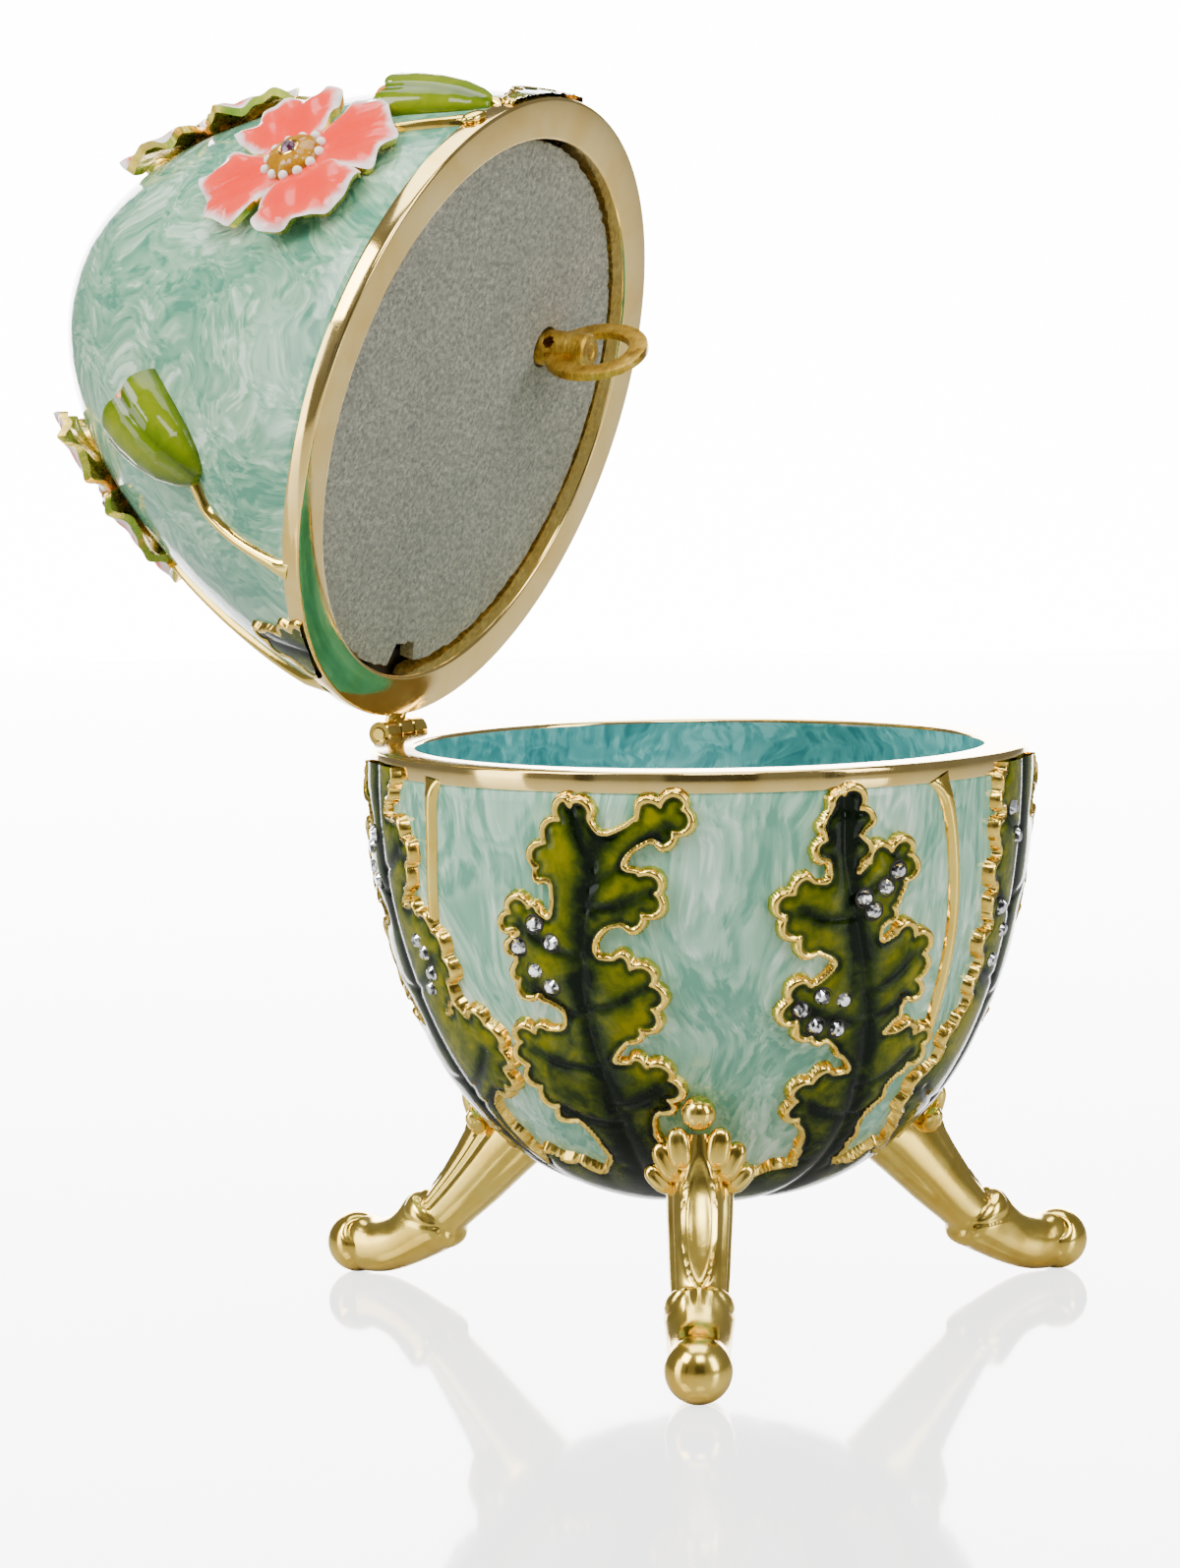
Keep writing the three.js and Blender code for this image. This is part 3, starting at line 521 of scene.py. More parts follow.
# Brass with fine marks from the lathe and file.
def brushedBrass(name):
    n = Nodes(name)
    at = n.coordinates()
    brush = n.noise(n.vector("MULTIPLY", at, (0.6, 7.0, 0.8)), 1.0, 4.0, 0.7).outputs["Fac"]
    cloud = n.noise(at, 0.5, 3.0, 0.6).outputs["Fac"]
    tone = n.math("MULTIPLY_ADD", n.math("SUBTRACT", brush, 0.5), 0.9, cloud)
    stops = [(0.2, (0.30, 0.15, 0.015)), (0.5, (0.66, 0.40, 0.045)), (0.8, (0.95, 0.68, 0.16))]
    colour = n.ramp(tone, stops)
    rough = n.math("MULTIPLY_ADD", brush, 0.35, 0.18)
    normal = n.bump(brush, 0.8, 0.12)
    return n.finish(colour=colour, metallic=1.0, roughness=rough, normal=normal)


# Crystal as near-mirror metal; noise paints dark and bright patches on it as painted facet reflections.
def cutCrystal(name, colour, shadow):
    n = Nodes(name)
    at = n.coordinates()
    cloud = n.noise(at, 1.9, 1.0, 0.5).outputs["Fac"]
    tint = n.ramp(cloud, [(0.40, shadow), (0.47, tuple(0.6 * c for c in colour)), (0.56, colour)])
    return n.finish(colour=tint, metallic=0.9, roughness=0.04, coat=0.6, coatRoughness=0.02)


# Painted shade: near-black for the gap round the felt board and the rings round the leaf stones.
def paintedShadowMaterial(name):
    n = Nodes(name)
    at = n.coordinates()
    cloud = n.noise(at, 0.8, 2.0, 0.5).outputs["Fac"]
    colour = n.ramp(cloud, [(0.3, (0.010, 0.008, 0.006)), (0.7, (0.035, 0.028, 0.02))])
    return n.finish(colour=colour, roughness=0.8)


bowlEnamel = marbledEnamel("bowl_enamel", enamelLook["bowl"], axisAt, 0.0, (1.0, 1.0, 1.5))
lidEnamel = marbledEnamel(
    "lid_enamel", enamelLook["lid"], hingeAt, -openAngle, (1.0, 1.0, 1.2), 1.0, 22.0, 6.0
)
insideEnamel = marbledEnamel("inside_enamel", enamelLook["inner"], axisAt, 0.0, (1.4, 1.4, 0.8))
polishedGold = goldPlate("polished_gold", 0.07, 0.2, 0.08, 0.08)
satinGold = goldPlate("satin_gold", 0.08, 0.12, 0.03, 0.08, rimLook)
legGold = goldPlate("leg_gold", 0.15, 0.16, 0.12)
leafGreen = leafEnamel("leaf_enamel")
petalSalmon = petalEnamel("petal_enamel")
budGreen = budEnamel("bud_enamel")
eyeYellow = plainEnamel(
    "flower_eye", [(0.3, (0.30, 0.10, 0.0)), (0.55, (0.38, 0.17, 0.0)), (0.75, (0.48, 0.24, 0.0))], 0.7
)
beadWhite = plainEnamel("bead_white", [(0.3, (0.93, 0.84, 0.70)), (0.7, (0.97, 0.94, 0.88))], 0.8)
undersideGold = goldPlate("underside_gold", 0.24, 0.6, 0.4)
feltGrey = greyFelt("grey_felt")
keyBrass = brushedBrass("key_brass")
clearCrystal = cutCrystal("clear_crystal", (0.98, 0.98, 0.98), (0.05, 0.05, 0.05))
pinkCrystal = cutCrystal("pink_crystal", (0.96, 0.62, 0.74), (0.45, 0.10, 0.24))
greenCrystal = cutCrystal("green_crystal", (0.62, 0.80, 0.14), (0.10, 0.22, 0.01))
paintedShadowDark = paintedShadowMaterial("painted_shadow_dark")
copperPin = goldPlate("copper_pin", 0.35, 0.5, 0.5)
copperPin.node_tree.nodes["Principled BSDF"].inputs["Metallic"].default_value = 0.9
print("materials made")


shellLook = {"lip": 0.35, "outerSteps": 72, "innerSteps": 48}


def wallProfile(half, fromDepth, toDepth, steps, radius, poleDepth):
    start, end = [math.asin((d / poleDepth) ** (half["fullness"] / 2)) for d in (fromDepth, toDepth)]
    points = []
    for swing in np.linspace(start, end, steps + 1):
        depth = poleDepth * math.sin(swing) ** (2 / half["fullness"])
        r = radius * max(math.cos(swing), 0) ** (2 * half["roundness"])
        points.append((r if depth < poleDepth - 1e-6 else 0.0, half["rimZ"] + half["up"] * depth))
    return points


def cornerArc(centre, radius, start, end, steps=4):
    turns = [math.radians(start + (end - start) * i / steps) for i in range(steps + 1)]
    return [(centre[0] + radius * math.cos(t), centre[1] + radius * math.sin(t)) for t in turns]


# Band, flat rim and both walls of a half, from the inside pole to the outside pole.
def shellProfile(half):
    lip = shellLook["lip"]
    z = lambda depth: half["rimZ"] + half["up"] * depth
    innerPole = half["poleDepth"] - egg["wall"]
    inner = wallProfile(half, lip * 2, innerPole, shellLook["innerSteps"], egg["openingRadius"], innerPole)
    rim = egg["rimRadius"]
    band = egg["bandHeight"]
    step = egg["bandStep"]
    flat = half["up"]
    innerLip = cornerArc((egg["openingRadius"] + lip, z(lip)), lip, 180, 180 + flat * 90)
    outerLip = cornerArc((rim - lip, z(lip)), lip, -flat * 90, 0)
    foot = [(rim, z(band - 0.3)), (rim - 0.08, z(band)), (rim - step, z(band + 0.12))]
    outer = wallProfile(
        half, band + step, half["poleDepth"], shellLook["outerSteps"], rim - step * 0.6, half["poleDepth"]
    )
    return inner[::-1] + innerLip + outerLip + foot + outer


# True on the outer wall: how full the half is at a point, against its outside at 1.
def isOutside(half, radius, depth):
    full = (radius / egg["rimRadius"]) ** (1 / half["roundness"])
    return full + max(depth / half["poleDepth"], 0) ** half["fullness"] > 0.93


def makeBowl():
    half = bowlHalf

    def slotOf(radius, z, normal):
        depth = half["rimZ"] - z
        if isOutside(half, radius, depth):
            return 0 if depth > egg["bandHeight"] + 0.05 else 1
        return 2 if radius < egg["openingRadius"] + 0.05 and depth > 0.3 else 1

    bm = spinProfile(shellProfile(half), egg["sides"], slotOf)
    materials = [bowlEnamel, satinGold, insideEnamel]
    finishPiece(bm, "bowl_shell", materials, "base", ["bowl"])


def makeLid():
    half = lidHalf

    def slotOf(radius, z, normal):
        depth = z - half["rimZ"]
        return 0 if depth > egg["bandHeight"] + 0.05 and isOutside(half, radius, depth) else 1

    bm = spinProfile(shellProfile(half), egg["sides"], slotOf)
    finishPiece(bm, "lid_shell", [lidEnamel, satinGold], "lid", ["lid"], lidPlace)


makeBowl()
makeLid()
print("shells made")


# Outlines go clockwise from the top as angle, depth. Tips are where the side veins end.
leafForms = {
    "forked": {
        "outline": [
            (94.3, 3.0), (96.8, 3.9), (99.5, 5.8), (104.0, 4.9), (108.5, 3.0), (113.4, 3.1),
            (111.8, 5.8), (107.6, 6.4), (104.2, 7.6), (103.1, 9.0), (105.9, 9.5), (108.9, 11.3),
            (106.4, 13.6), (102.3, 14.4), (99.4, 14.9), (97.4, 16.3), (97.9, 17.7), (101.9, 18.0),
            (107.1, 19.9), (107.4, 22.8), (104.6, 25.0), (101.6, 26.0), (98.4, 28.1), (103.6, 28.2),
            (109.6, 29.7), (108.8, 32.4), (105.0, 34.0), (104.5, 38.0), (104.0, 43.0), (91.0, 43.0),
            (90.4, 40.8), (89.6, 37.4), (86.8, 34.9), (83.4, 34.2), (80.8, 32.6), (78.6, 30.4),
            (78.0, 28.0), (78.6, 26.0), (84.0, 25.2), (89.0, 24.9), (89.7, 23.2), (86.6, 22.2),
            (83.1, 21.2), (81.2, 20.2), (82.3, 18.6), (81.0, 17.2), (82.9, 15.6), (81.0, 14.6),
            (81.7, 13.3), (85.4, 12.8), (89.3, 14.0), (90.2, 10.8), (87.6, 9.2), (88.8, 7.3),
            (91.1, 5.0),
        ],
        "midrib": [(99.0, 7.0), (95.6, 14.0), (94.2, 22.0), (95.6, 30.0), (97.4, 38.0), (98.0, 45.0)],
        "tips": [
            (94.3, 3.0), (112.5, 3.9), (108.0, 11.3), (106.4, 20.6), (108.4, 30.4),
            (82.0, 14.2), (83.0, 20.4), (79.4, 27.0), (82.5, 33.0),
        ],
        "stones": [(86.5, 14.7), (82.8, 17.0), (89.4, 16.4), (85.6, 19.2), (88.3, 20.7)],
    },
    "plain": {
        "outline": [
            (139.7, 2.2), (142.2, 2.9), (143.7, 4.4), (143.2, 6.4), (143.9, 8.0), (142.8, 10.0),
            (146.6, 8.2), (151.5, 7.8), (153.2, 8.6), (152.6, 10.8), (151.0, 12.4), (150.2, 14.4),
            (148.3, 15.5), (148.9, 16.8), (152.8, 16.0), (156.9, 16.6), (158.9, 18.2), (158.5, 20.2),
            (158.4, 22.0), (156.4, 22.8), (154.9, 24.8), (153.1, 26.1), (158.8, 26.1), (165.5, 27.3),
            (163.6, 29.4), (159.4, 31.4), (158.2, 33.4), (156.5, 34.7), (157.0, 38.5), (159.0, 43.0),
            (148.5, 43.0), (146.0, 40.4), (142.9, 38.4), (141.6, 36.6), (139.3, 35.1), (136.4, 33.4),
            (136.9, 31.2), (141.6, 30.0), (147.1, 29.6), (143.4, 27.6), (140.0, 26.2), (136.8, 26.0),
            (134.6, 24.7), (131.9, 23.6), (132.0, 21.8), (134.2, 20.7), (136.7, 20.5), (139.9, 18.6),
            (136.2, 17.4), (133.8, 16.6), (131.1, 14.9), (129.6, 13.2), (130.9, 11.7), (134.2, 10.7),
            (137.5, 10.6), (137.5, 8.8), (136.1, 7.2), (137.3, 5.8), (137.0, 4.2), (138.8, 3.6),
        ],
        "midrib": [(140.2, 3.6), (140.6, 9.0), (143.4, 15.0), (147.0, 22.0), (150.0, 29.0), (152.0, 37.0),
                   (153.0, 45.0)],
        "tips": [
            (140.0, 3.0), (151.8, 8.6), (157.2, 18.0), (156.8, 22.0), (163.6, 27.8), (157.6, 34.0),
            (131.2, 13.2), (133.0, 23.0), (138.0, 32.6),
        ],
        "stones": [
            (150.5, 10.0), (148.3, 11.5), (144.2, 12.4), (146.2, 13.7), (134.1, 23.0),
            (138.0, 21.8), (142.1, 22.2), (137.3, 24.7), (141.8, 25.1),
        ],
    },
    "tall": {
        "outline": [
            (37.0, -1.5), (52.0, -1.5), (52.0, 0.8), (51.8, 2.7), (49.4, 4.2), (48.6, 5.8),
            (51.4, 6.0), (54.9, 7.4), (56.3, 8.9), (55.6, 10.3), (54.2, 12.6), (51.6, 14.4),
            (55.2, 14.6), (58.6, 15.5), (61.4, 16.6), (62.6, 18.2), (63.2, 20.0), (62.0, 21.7),
            (60.8, 23.6), (58.4, 24.9), (61.8, 24.2), (65.4, 24.8), (69.0, 24.8), (71.3, 26.2),
            (72.4, 28.0), (71.0, 29.8), (70.0, 31.4), (67.8, 32.0), (63.4, 32.8), (59.7, 34.6),
            (59.6, 38.5), (60.0, 43.0), (46.0, 43.0), (43.0, 40.0), (37.5, 37.4), (32.0, 35.4),
            (27.4, 33.2), (26.4, 30.2), (28.0, 27.5), (33.4, 27.0), (40.0, 27.0), (38.0, 25.0),
            (32.8, 23.8), (29.9, 21.5), (30.2, 19.4), (32.8, 17.8), (39.5, 16.5), (36.0, 15.0),
            (31.6, 13.6), (29.6, 11.5), (30.0, 9.2), (33.2, 7.6), (38.8, 7.0), (37.4, 5.0), (35.8, 3.0),
            (37.0, 1.0),
        ],
        "midrib": [(45.0, -2.0), (44.2, 8.0), (45.2, 17.0), (48.0, 27.0), (51.0, 36.0), (52.5, 45.0)],
        "tips": [
            (54.6, 8.6), (61.4, 18.6), (69.8, 27.2), (66.0, 32.0),
            (31.0, 11.0), (31.4, 20.6), (28.4, 30.0), (34.0, 35.6),
        ],
        "stones": [
            (55.0, 17.7), (57.0, 18.8), (57.7, 20.8), (55.9, 22.4),
            (41.0, 8.0), (38.0, 9.4), (36.2, 11.4), (39.4, 12.6),
        ],
    },
    "tallForked": {
        "outline": [
            (180.5, -1.5), (197.0, -1.5), (197.4, 1.0), (199.0, 3.0), (196.4, 5.0), (195.6, 7.0),
            (201.0, 7.2), (205.0, 8.8), (206.6, 10.6), (205.0, 13.0), (201.4, 14.6), (198.0, 16.8),
            (202.4, 17.0), (206.6, 18.6), (208.4, 21.0), (206.6, 24.0), (202.6, 25.8), (199.0, 27.8),
            (204.6, 27.6), (210.0, 28.8), (212.0, 31.2), (209.4, 33.6), (204.0, 35.2), (199.6, 38.0),
            (199.0, 43.0), (184.0, 43.0), (180.6, 40.0), (175.4, 37.4), (170.6, 34.4), (169.8, 32.4),
            (172.2, 30.8), (174.8, 29.8), (174.6, 27.8), (176.6, 26.0), (178.8, 24.2), (177.4, 22.4),
            (178.8, 20.6), (177.2, 18.6), (179.4, 16.8), (177.4, 15.2), (178.6, 13.2), (176.8, 11.4),
            (178.4, 9.6), (176.6, 7.8), (178.8, 5.8), (176.8, 4.0), (178.4, 2.0), (178.8, 0.2),
        ],
        "midrib": [(188.0, -2.0), (188.0, 8.0), (188.6, 17.0), (190.0, 26.0), (190.6, 35.0), (191.0, 45.0)],
        "tips": [
            (204.4, 10.4), (206.4, 21.0), (210.0, 31.0), (178.8, 6.0), (178.8, 14.0), (178.6, 21.4),
            (172.4, 32.4),
        ],
        "stones": [(181.6, 5.4), (184.6, 8.4), (181.2, 15.2), (184.4, 17.6), (182.6, 20.4)],
    },
}
leaves = [
    {"name": "left_leaf", "form": "tall", "shift": 0, "stones": 8},
    {"name": "front_left_leaf", "form": "forked", "shift": 0, "stones": 5},
    {"name": "front_right_leaf", "form": "plain", "shift": 0, "stones": 9},
    {"name": "right_leaf", "form": "tallForked", "shift": 0, "stones": 5},
    {"name": "back_right_leaf", "form": "plain", "shift": 104, "stones": 5},
    {"name": "back_leaf", "form": "forked", "shift": 195, "stones": 5},
    {"name": "back_left_leaf", "form": "forked", "shift": 238, "stones": 5},
]
leafShape = {
    "grain": 0.22,          # size of a mesh cell
    "borderCentre": 0.06,   # border's middle line, outside the outline
    "borderHalf": 0.25,
    "beadHalf": 0.27,       # how much wider a bead is
    "beadPitch": 2.7,
    "beadBulge": 0.50,
    "borderHeight": 0.84,
    "beadHeight": 0.20,
    "fieldHeight": 0.42,
    "lobeHeight": 0.40,
    "creaseWidth": 1.1,
    "veinWidth": 0.40,
    "veinDepth": 0.16,
    "sunk": -0.45,
    "splitDepth": 37.0,     # the ring of leaf bases starts here
}


def chart(half, centre, angle, depth):
    across = np.radians(np.asarray(angle, float) - centre) * radiusAt(half, depth)
    return np.stack([across, arcOf(half, depth)], axis=-1)


# Even steps along a closed line, with the distance run.
def evenSteps(line, pitch):
    loop = np.vstack([line, line[:1]])
    runs = np.concatenate([[0], np.cumsum(np.hypot(*np.diff(loop, axis=0).T))])
    count = int(runs[-1] / pitch)
    at = np.linspace(0, runs[-1], count, endpoint=False)
    return np.stack([np.interp(at, runs, loop[:, k]) for k in (0, 1)], axis=-1), at


# Nearest distance to a line, with its sign by winding if it is closed, and the run along it.
def lineDistance(points, line, closed):
    ends = np.vstack([line, line[:1]]) if closed else line
    a, b = ends[:-1], ends[1:]
    span = b - a
    length2 = np.maximum((span**2).sum(1), 1e-12)
    runs = np.concatenate([[0], np.cumsum(np.sqrt(length2))])[:-1]
    best = np.empty(len(points))
    along = np.empty(len(points))
    inside = np.zeros(len(points), bool)
    for start in range(0, len(points), 3000):
        p = points[start:start + 3000, None, :]
        t = np.clip(((p - a) * span).sum(2) / length2, 0, 1)
        gap = np.hypot(*np.moveaxis(p - (a + t[..., None] * span), 2, 0))
        pick = gap.argmin(1)
        rows = np.arange(len(pick))
        best[start:start + 3000] = gap[rows, pick]
        along[start:start + 3000] = runs[pick] + t[rows, pick] * np.sqrt(length2[pick])
        if closed:
            crosses = (a[:, 1] > p[..., 1]) != (b[:, 1] > p[..., 1])
            rise = np.where(np.abs(span[:, 1]) < 1e-12, 1e-12, span[:, 1])
            hit = p[..., 0] < span[:, 0] * (p[..., 1] - a[:, 1]) / rise + a[:, 0]
            inside[start:start + 3000] = (crosses & hit).sum(1) % 2 == 1
    return np.where(inside, -best, best), along


# Teeth along an outline where it bulges, none in its hollows. Gives the line and each tooth's share.
def toothedOutline(line, pitch, bulge):
    even, at = evenSteps(line, 0.18)
    ahead = np.roll(even, -1, axis=0) - np.roll(even, 1, axis=0)
    outward = np.stack([ahead[:, 1], -ahead[:, 0]], axis=-1)
    outward /= np.maximum(np.hypot(*outward.T), 1e-9)[:, None]
    area = (even[:, 0] * np.roll(even[:, 1], -1) - np.roll(even[:, 0], -1) * even[:, 1]).sum()
    side = 1 if area > 0 else -1
    far = np.roll(even, -5, axis=0) - even
    near = even - np.roll(even, 5, axis=0)
    bend = side * (near[:, 0] * far[:, 1] - near[:, 1] * far[:, 0]) / 0.9**3
    reach = np.arange(-9, 10)
    bend = sum(np.roll(bend, k) for k in reach) / len(reach)
    share = np.clip((bend + 0.10) / 0.22, 0, 1)
    wave = share * np.abs(np.sin(math.pi * at / pitch)) ** 0.75
    line = even + side * outward * (bulge * 2 * (wave - 0.3 * share))[:, None]
    return line, wave


def runAlong(line):
    return np.concatenate([[0], np.cumsum(np.hypot(*np.diff(line, axis=0).T))])


def prepareLeaf(leaf):
    form = leafForms[leaf["form"]]
    angles = [a for a, d in form["outline"]]
    centre = (min(angles) + max(angles)) / 2
    asChart = lambda pairs: chart(bowlHalf, centre, [a for a, d in pairs], np.array([d for a, d in pairs]))
    leaf["centre"] = centre + leaf["shift"]
    leaf["outline"], leaf["teeth"] = toothedOutline(
        smoothLine(asChart(form["outline"]), 8, True), leafShape["beadPitch"], leafShape["beadBulge"]
    )
    leaf["runs"] = runAlong(leaf["outline"])
    leaf["midrib"] = smoothLine(asChart(form["midrib"]), 8)
    leaf["veins"] = []
    for tip in asChart(form["tips"]):
        gaps = np.hypot(*(leaf["midrib"] - tip).T)
        rootAt = leaf["midrib"][gaps.argmin()][1] + 0.45 * gaps.min()
        root = leaf["midrib"][np.abs(leaf["midrib"][:, 1] - rootAt).argmin()]
        bow = (root + tip) / 2 + np.array([0, 0.08 * gaps.min()])
        leaf["veins"].append(smoothLine([root, bow, root + 0.86 * (tip - root)], 5))


# The ring of leaf bases under the leaves: its scalloped edge and its creases.
baseRing = {"edge": 40.2, "rise": 1.3}


def ringEdge(angle):
    turn = np.radians(angle)
    return baseRing["edge"] - baseRing["rise"] * np.sin(7 * turn - 0.6) ** 2 + 0.35 * np.sin(31 * turn)


# Height, edge distance and shade of the relief at angles and depths on the bowl; the shade is darker along
# the midrib and veins and towards the bottom, with a painted shade line where the enamel meets the gold
# border.
def leafRelief(angle, depth, near):
    shape = leafShape
    edge = (ringEdge(angle) - depth) * 1.7
    bead = np.abs(np.sin(math.pi * np.radians(angle) * 22 / shape["beadPitch"])) ** 0.8
    crease = np.full(len(angle), 9.0)
    vein = np.full(len(angle), 9.0)
    for leaf in near:
        offset = (np.asarray(angle) - leaf["centre"] + 180) % 360 - 180
        close = np.abs(offset) < 34
        points = chart(bowlHalf, 0, offset[close], depth[close])
        gap, along = lineDistance(points, leaf["outline"], True)
        nearer = gap < edge[close]
        bead[close] = np.where(nearer, np.interp(along, leaf["runs"], leaf["teeth"]), bead[close])
        edge[close] = np.minimum(gap, edge[close])
        rib, _ = lineDistance(points, leaf["midrib"], False)
        crease[close] = np.minimum(rib, crease[close])
        for line in leaf["veins"]:
            side, _ = lineDistance(points, line, False)
            vein[close] = np.minimum(side, vein[close])
    half = shape["borderHalf"] + shape["beadHalf"] * bead
    top = shape["borderHeight"] + shape["beadHeight"] * bead
    middle = shape["borderCentre"] + 0.12 * bead
    across = np.clip(np.abs(edge - middle) / half, 0, 1)
    border = top * np.sqrt(1 - across**2)
    rise = 1 - np.exp(-np.clip(crease - 0.1, 0, None) / shape["creaseWidth"])
    swell = rise * (1 - np.exp(-np.clip(-edge, 0, None) / 0.9))
    groove = shape["veinDepth"] * np.exp(-((vein / shape["veinWidth"]) ** 2))
    field = shape["fieldHeight"] + shape["lobeHeight"] * swell - groove
    height = np.where(edge < 0, np.maximum(field, border), border)
    height = np.where(edge > half + middle, shape["sunk"], height)
    dark = np.maximum(np.exp(-((crease / 1.6) ** 2)), 0.8 * np.exp(-((vein / 0.85) ** 2)))
    # Painted shade: a dark line in the enamel at the foot of the gold border.
    paintedBorderShade = 0.45 * np.exp(-(((edge + 0.42) / 0.28) ** 2))
    base = np.clip((depth - 28) / 13, 0, 1)
    shade = np.clip(0.92 - 0.9 * dark - paintedBorderShade - 0.5 * base, 0, 1)
    return height, edge, shade


def dropOutside(bm, outside):
    bm.verts.ensure_lookup_table()
    spare = [face for face in bm.faces if all(outside[v.index] for v in face.verts)]
    bmesh.ops.delete(bm, geom=spare, context="FACES")


def makeLeaf(leaf, near):
    outline = leaf["outline"]
    low, high = outline.min(0) - 1.2, outline.max(0) + 1.2
    low[1] = max(low[1], arcOf(bowlHalf, 0.9))
    high[1] = arcOf(bowlHalf, leafShape["splitDepth"] + 0.15)
    counts = [int((high[k] - low[k]) / leafShape["grain"]) for k in (0, 1)]
    bm, flat = gridPatch(*counts)
    across = low[0] + (high[0] - low[0]) * (flat[:, 0] + 1) / 2
    depth = depthOf(bowlHalf, low[1] + (high[1] - low[1]) * (flat[:, 1] + 1) / 2)
    angle = leaf["centre"] + np.degrees(across / radiusAt(bowlHalf, depth))
    height, edge, shade = leafRelief(angle, depth, near)
    moveVerts(bm, onEgg(bowlHalf, angle, depth, height))
    setShade(bm, "edge", edge)
    setShade(bm, "shade", shade)
    bm.verts.index_update()
    dropOutside(bm, height < 0)
    bmesh.ops.recalc_face_normals(bm, faces=bm.faces)
    finishPiece(bm, leaf["name"], [leafGreen], "base", sharpAt=None)


def makeLeafBases():
    bm, flat = gridPatch(540, 76)
    angle = 180 * (flat[:, 0] + 1)
    start = arcOf(bowlHalf, leafShape["splitDepth"])
    share = (flat[:, 1] + 1) / 2
    arc = start + (bowlHalf["arcs"][-1] - start) * share
    depth = depthOf(bowlHalf, arc)
    height, edge, shade = leafRelief(angle, depth, leaves)
    height = np.where(depth > 44.5, leafShape["fieldHeight"], height)
    moveVerts(bm, onEgg(bowlHalf, angle, depth, height))
    setShade(bm, "edge", edge)
    setShade(bm, "shade", shade)
    bm.verts.index_update()
    dropOutside(bm, height < 0)
    bmesh.ops.remove_doubles(bm, verts=bm.verts, dist=1e-3)
    bmesh.ops.recalc_face_normals(bm, faces=bm.faces)
    finishPiece(bm, "leaf_bases", [leafGreen], "base", sharpAt=None)


for leaf in leaves:
    prepareLeaf(leaf)
for i, leaf in enumerate(leaves):
    makeLeaf(leaf, [leaf, leaves[i - 1], leaves[(i + 1) % len(leaves)]])
makeLeafBases()
print("leaves made")


stemShape = {"width": 1.25, "height": 0.62, "sides": 10}
bowlStems = [
    [(64.5, 1.5), (63.9, 4.0), (63.3, 8.0), (62.0, 12.0), (60.4, 16.4)],
    [(160.0, 1.5), (162.3, 4.5), (164.5, 9.9), (166.0, 15.3), (166.6, 20.0), (166.9, 27.8)],
    [(214.0, 1.5), (213.4, 6.0), (211.0, 14.0), (206.0, 24.0)],
    [(270.0, 1.5), (269.4, 5.0), (267.6, 12.0), (264.0, 21.0)],
    [(24.0, 1.5), (25.4, 6.0), (28.4, 14.0), (33.0, 23.0)],
]
lidStems = [
    [(60.0, 1.5), (60.7, 3.8), (61.1, 7.6), (61.9, 10.2), (63.6, 12.6), (67.0, 14.2), (69.4, 15.4)],
    [(155.5, 1.5), (152.6, 3.4), (150.4, 5.6), (147.5, 8.8)],
    [(164.0, 1.5), (163.6, 2.4), (163.0, 4.0)],
    [(27.0, 1.5), (24.4, 6.0), (22.0, 15.0), (22.0, 26.0)],
    [(205.0, 1.5), (203.4, 8.0), (196.0, 20.0), (184.0, 31.0)],
    [(262.0, 1.5), (261.0, 4.4), (259.0, 9.4)],
    [(313.0, 1.5), (312.0, 6.0), (310.0, 11.4)],
]


def stemMesh(half, stations, width, height, flare):
    line = smoothLine(stations, 10)
    bm, flat = gridPatch(stemShape["sides"], len(line) - 1)
    row = (flat[:, 1] + 1) / 2 * (len(line) - 1)
    angle = np.interp(row, np.arange(len(line)), line[:, 0])
    depth = np.interp(row, np.arange(len(line)), line[:, 1])
    end = np.clip((row[-1] - row) / row[-1], 0, 1)
    wide = width / 2 * (1 + flare * np.exp(-row / 5)) * np.clip(end * 9 + 0.35, 0, 1)
    along = np.gradient(line, axis=0)
    slope = np.interp(row, np.arange(len(line)), np.radians(along[:, 0]) * 31)
    drop = np.interp(row, np.arange(len(line)), along[:, 1])
    size = np.hypot(slope, drop)
    angle = angle + np.degrees(flat[:, 0] * wide * drop / size / radiusAt(half, depth))
    depth = depth - flat[:, 0] * wide * slope / size
    grown = np.clip(0.3 + row / 10, 0, 1)
    lift = -0.12 + (height * grown + 0.12) * np.sqrt(np.clip(1 - flat[:, 0] ** 2, 0, 1))
    moveVerts(bm, onEgg(half, angle, np.clip(depth, 0.4, None), lift))
    return bm


def makeStems(name, half, lines, body, place, extra=None):
    bm = bmesh.new()
    for stations in lines:
        addMesh(bm, stemMesh(half, stations, stemShape["width"], stemShape["height"], 1.5))
    if extra:
        extra(bm)
    bmesh.ops.recalc_face_normals(bm, faces=bm.faces)
    finishPiece(bm, name, [polishedGold], body, place=place, sharpAt=None)


# The little oval knob where the front flower's stem leaves the rim.
def addKnob(bm):
    knob = ballMesh(1.0, 24, 12)
    seat = seatOn(lidHalf, 154.6, 1.6, 0.4, -20)
    addMesh(bm, knob, seat @ Matrix.Diagonal((1.5, 0.8, 0.5, 1)))


makeStems("bowl_stems", bowlHalf, bowlStems, "base", bowlPlace)
makeStems("lid_stems", lidHalf, lidStems, "lid", lidPlace, addKnob)
print("stems made")


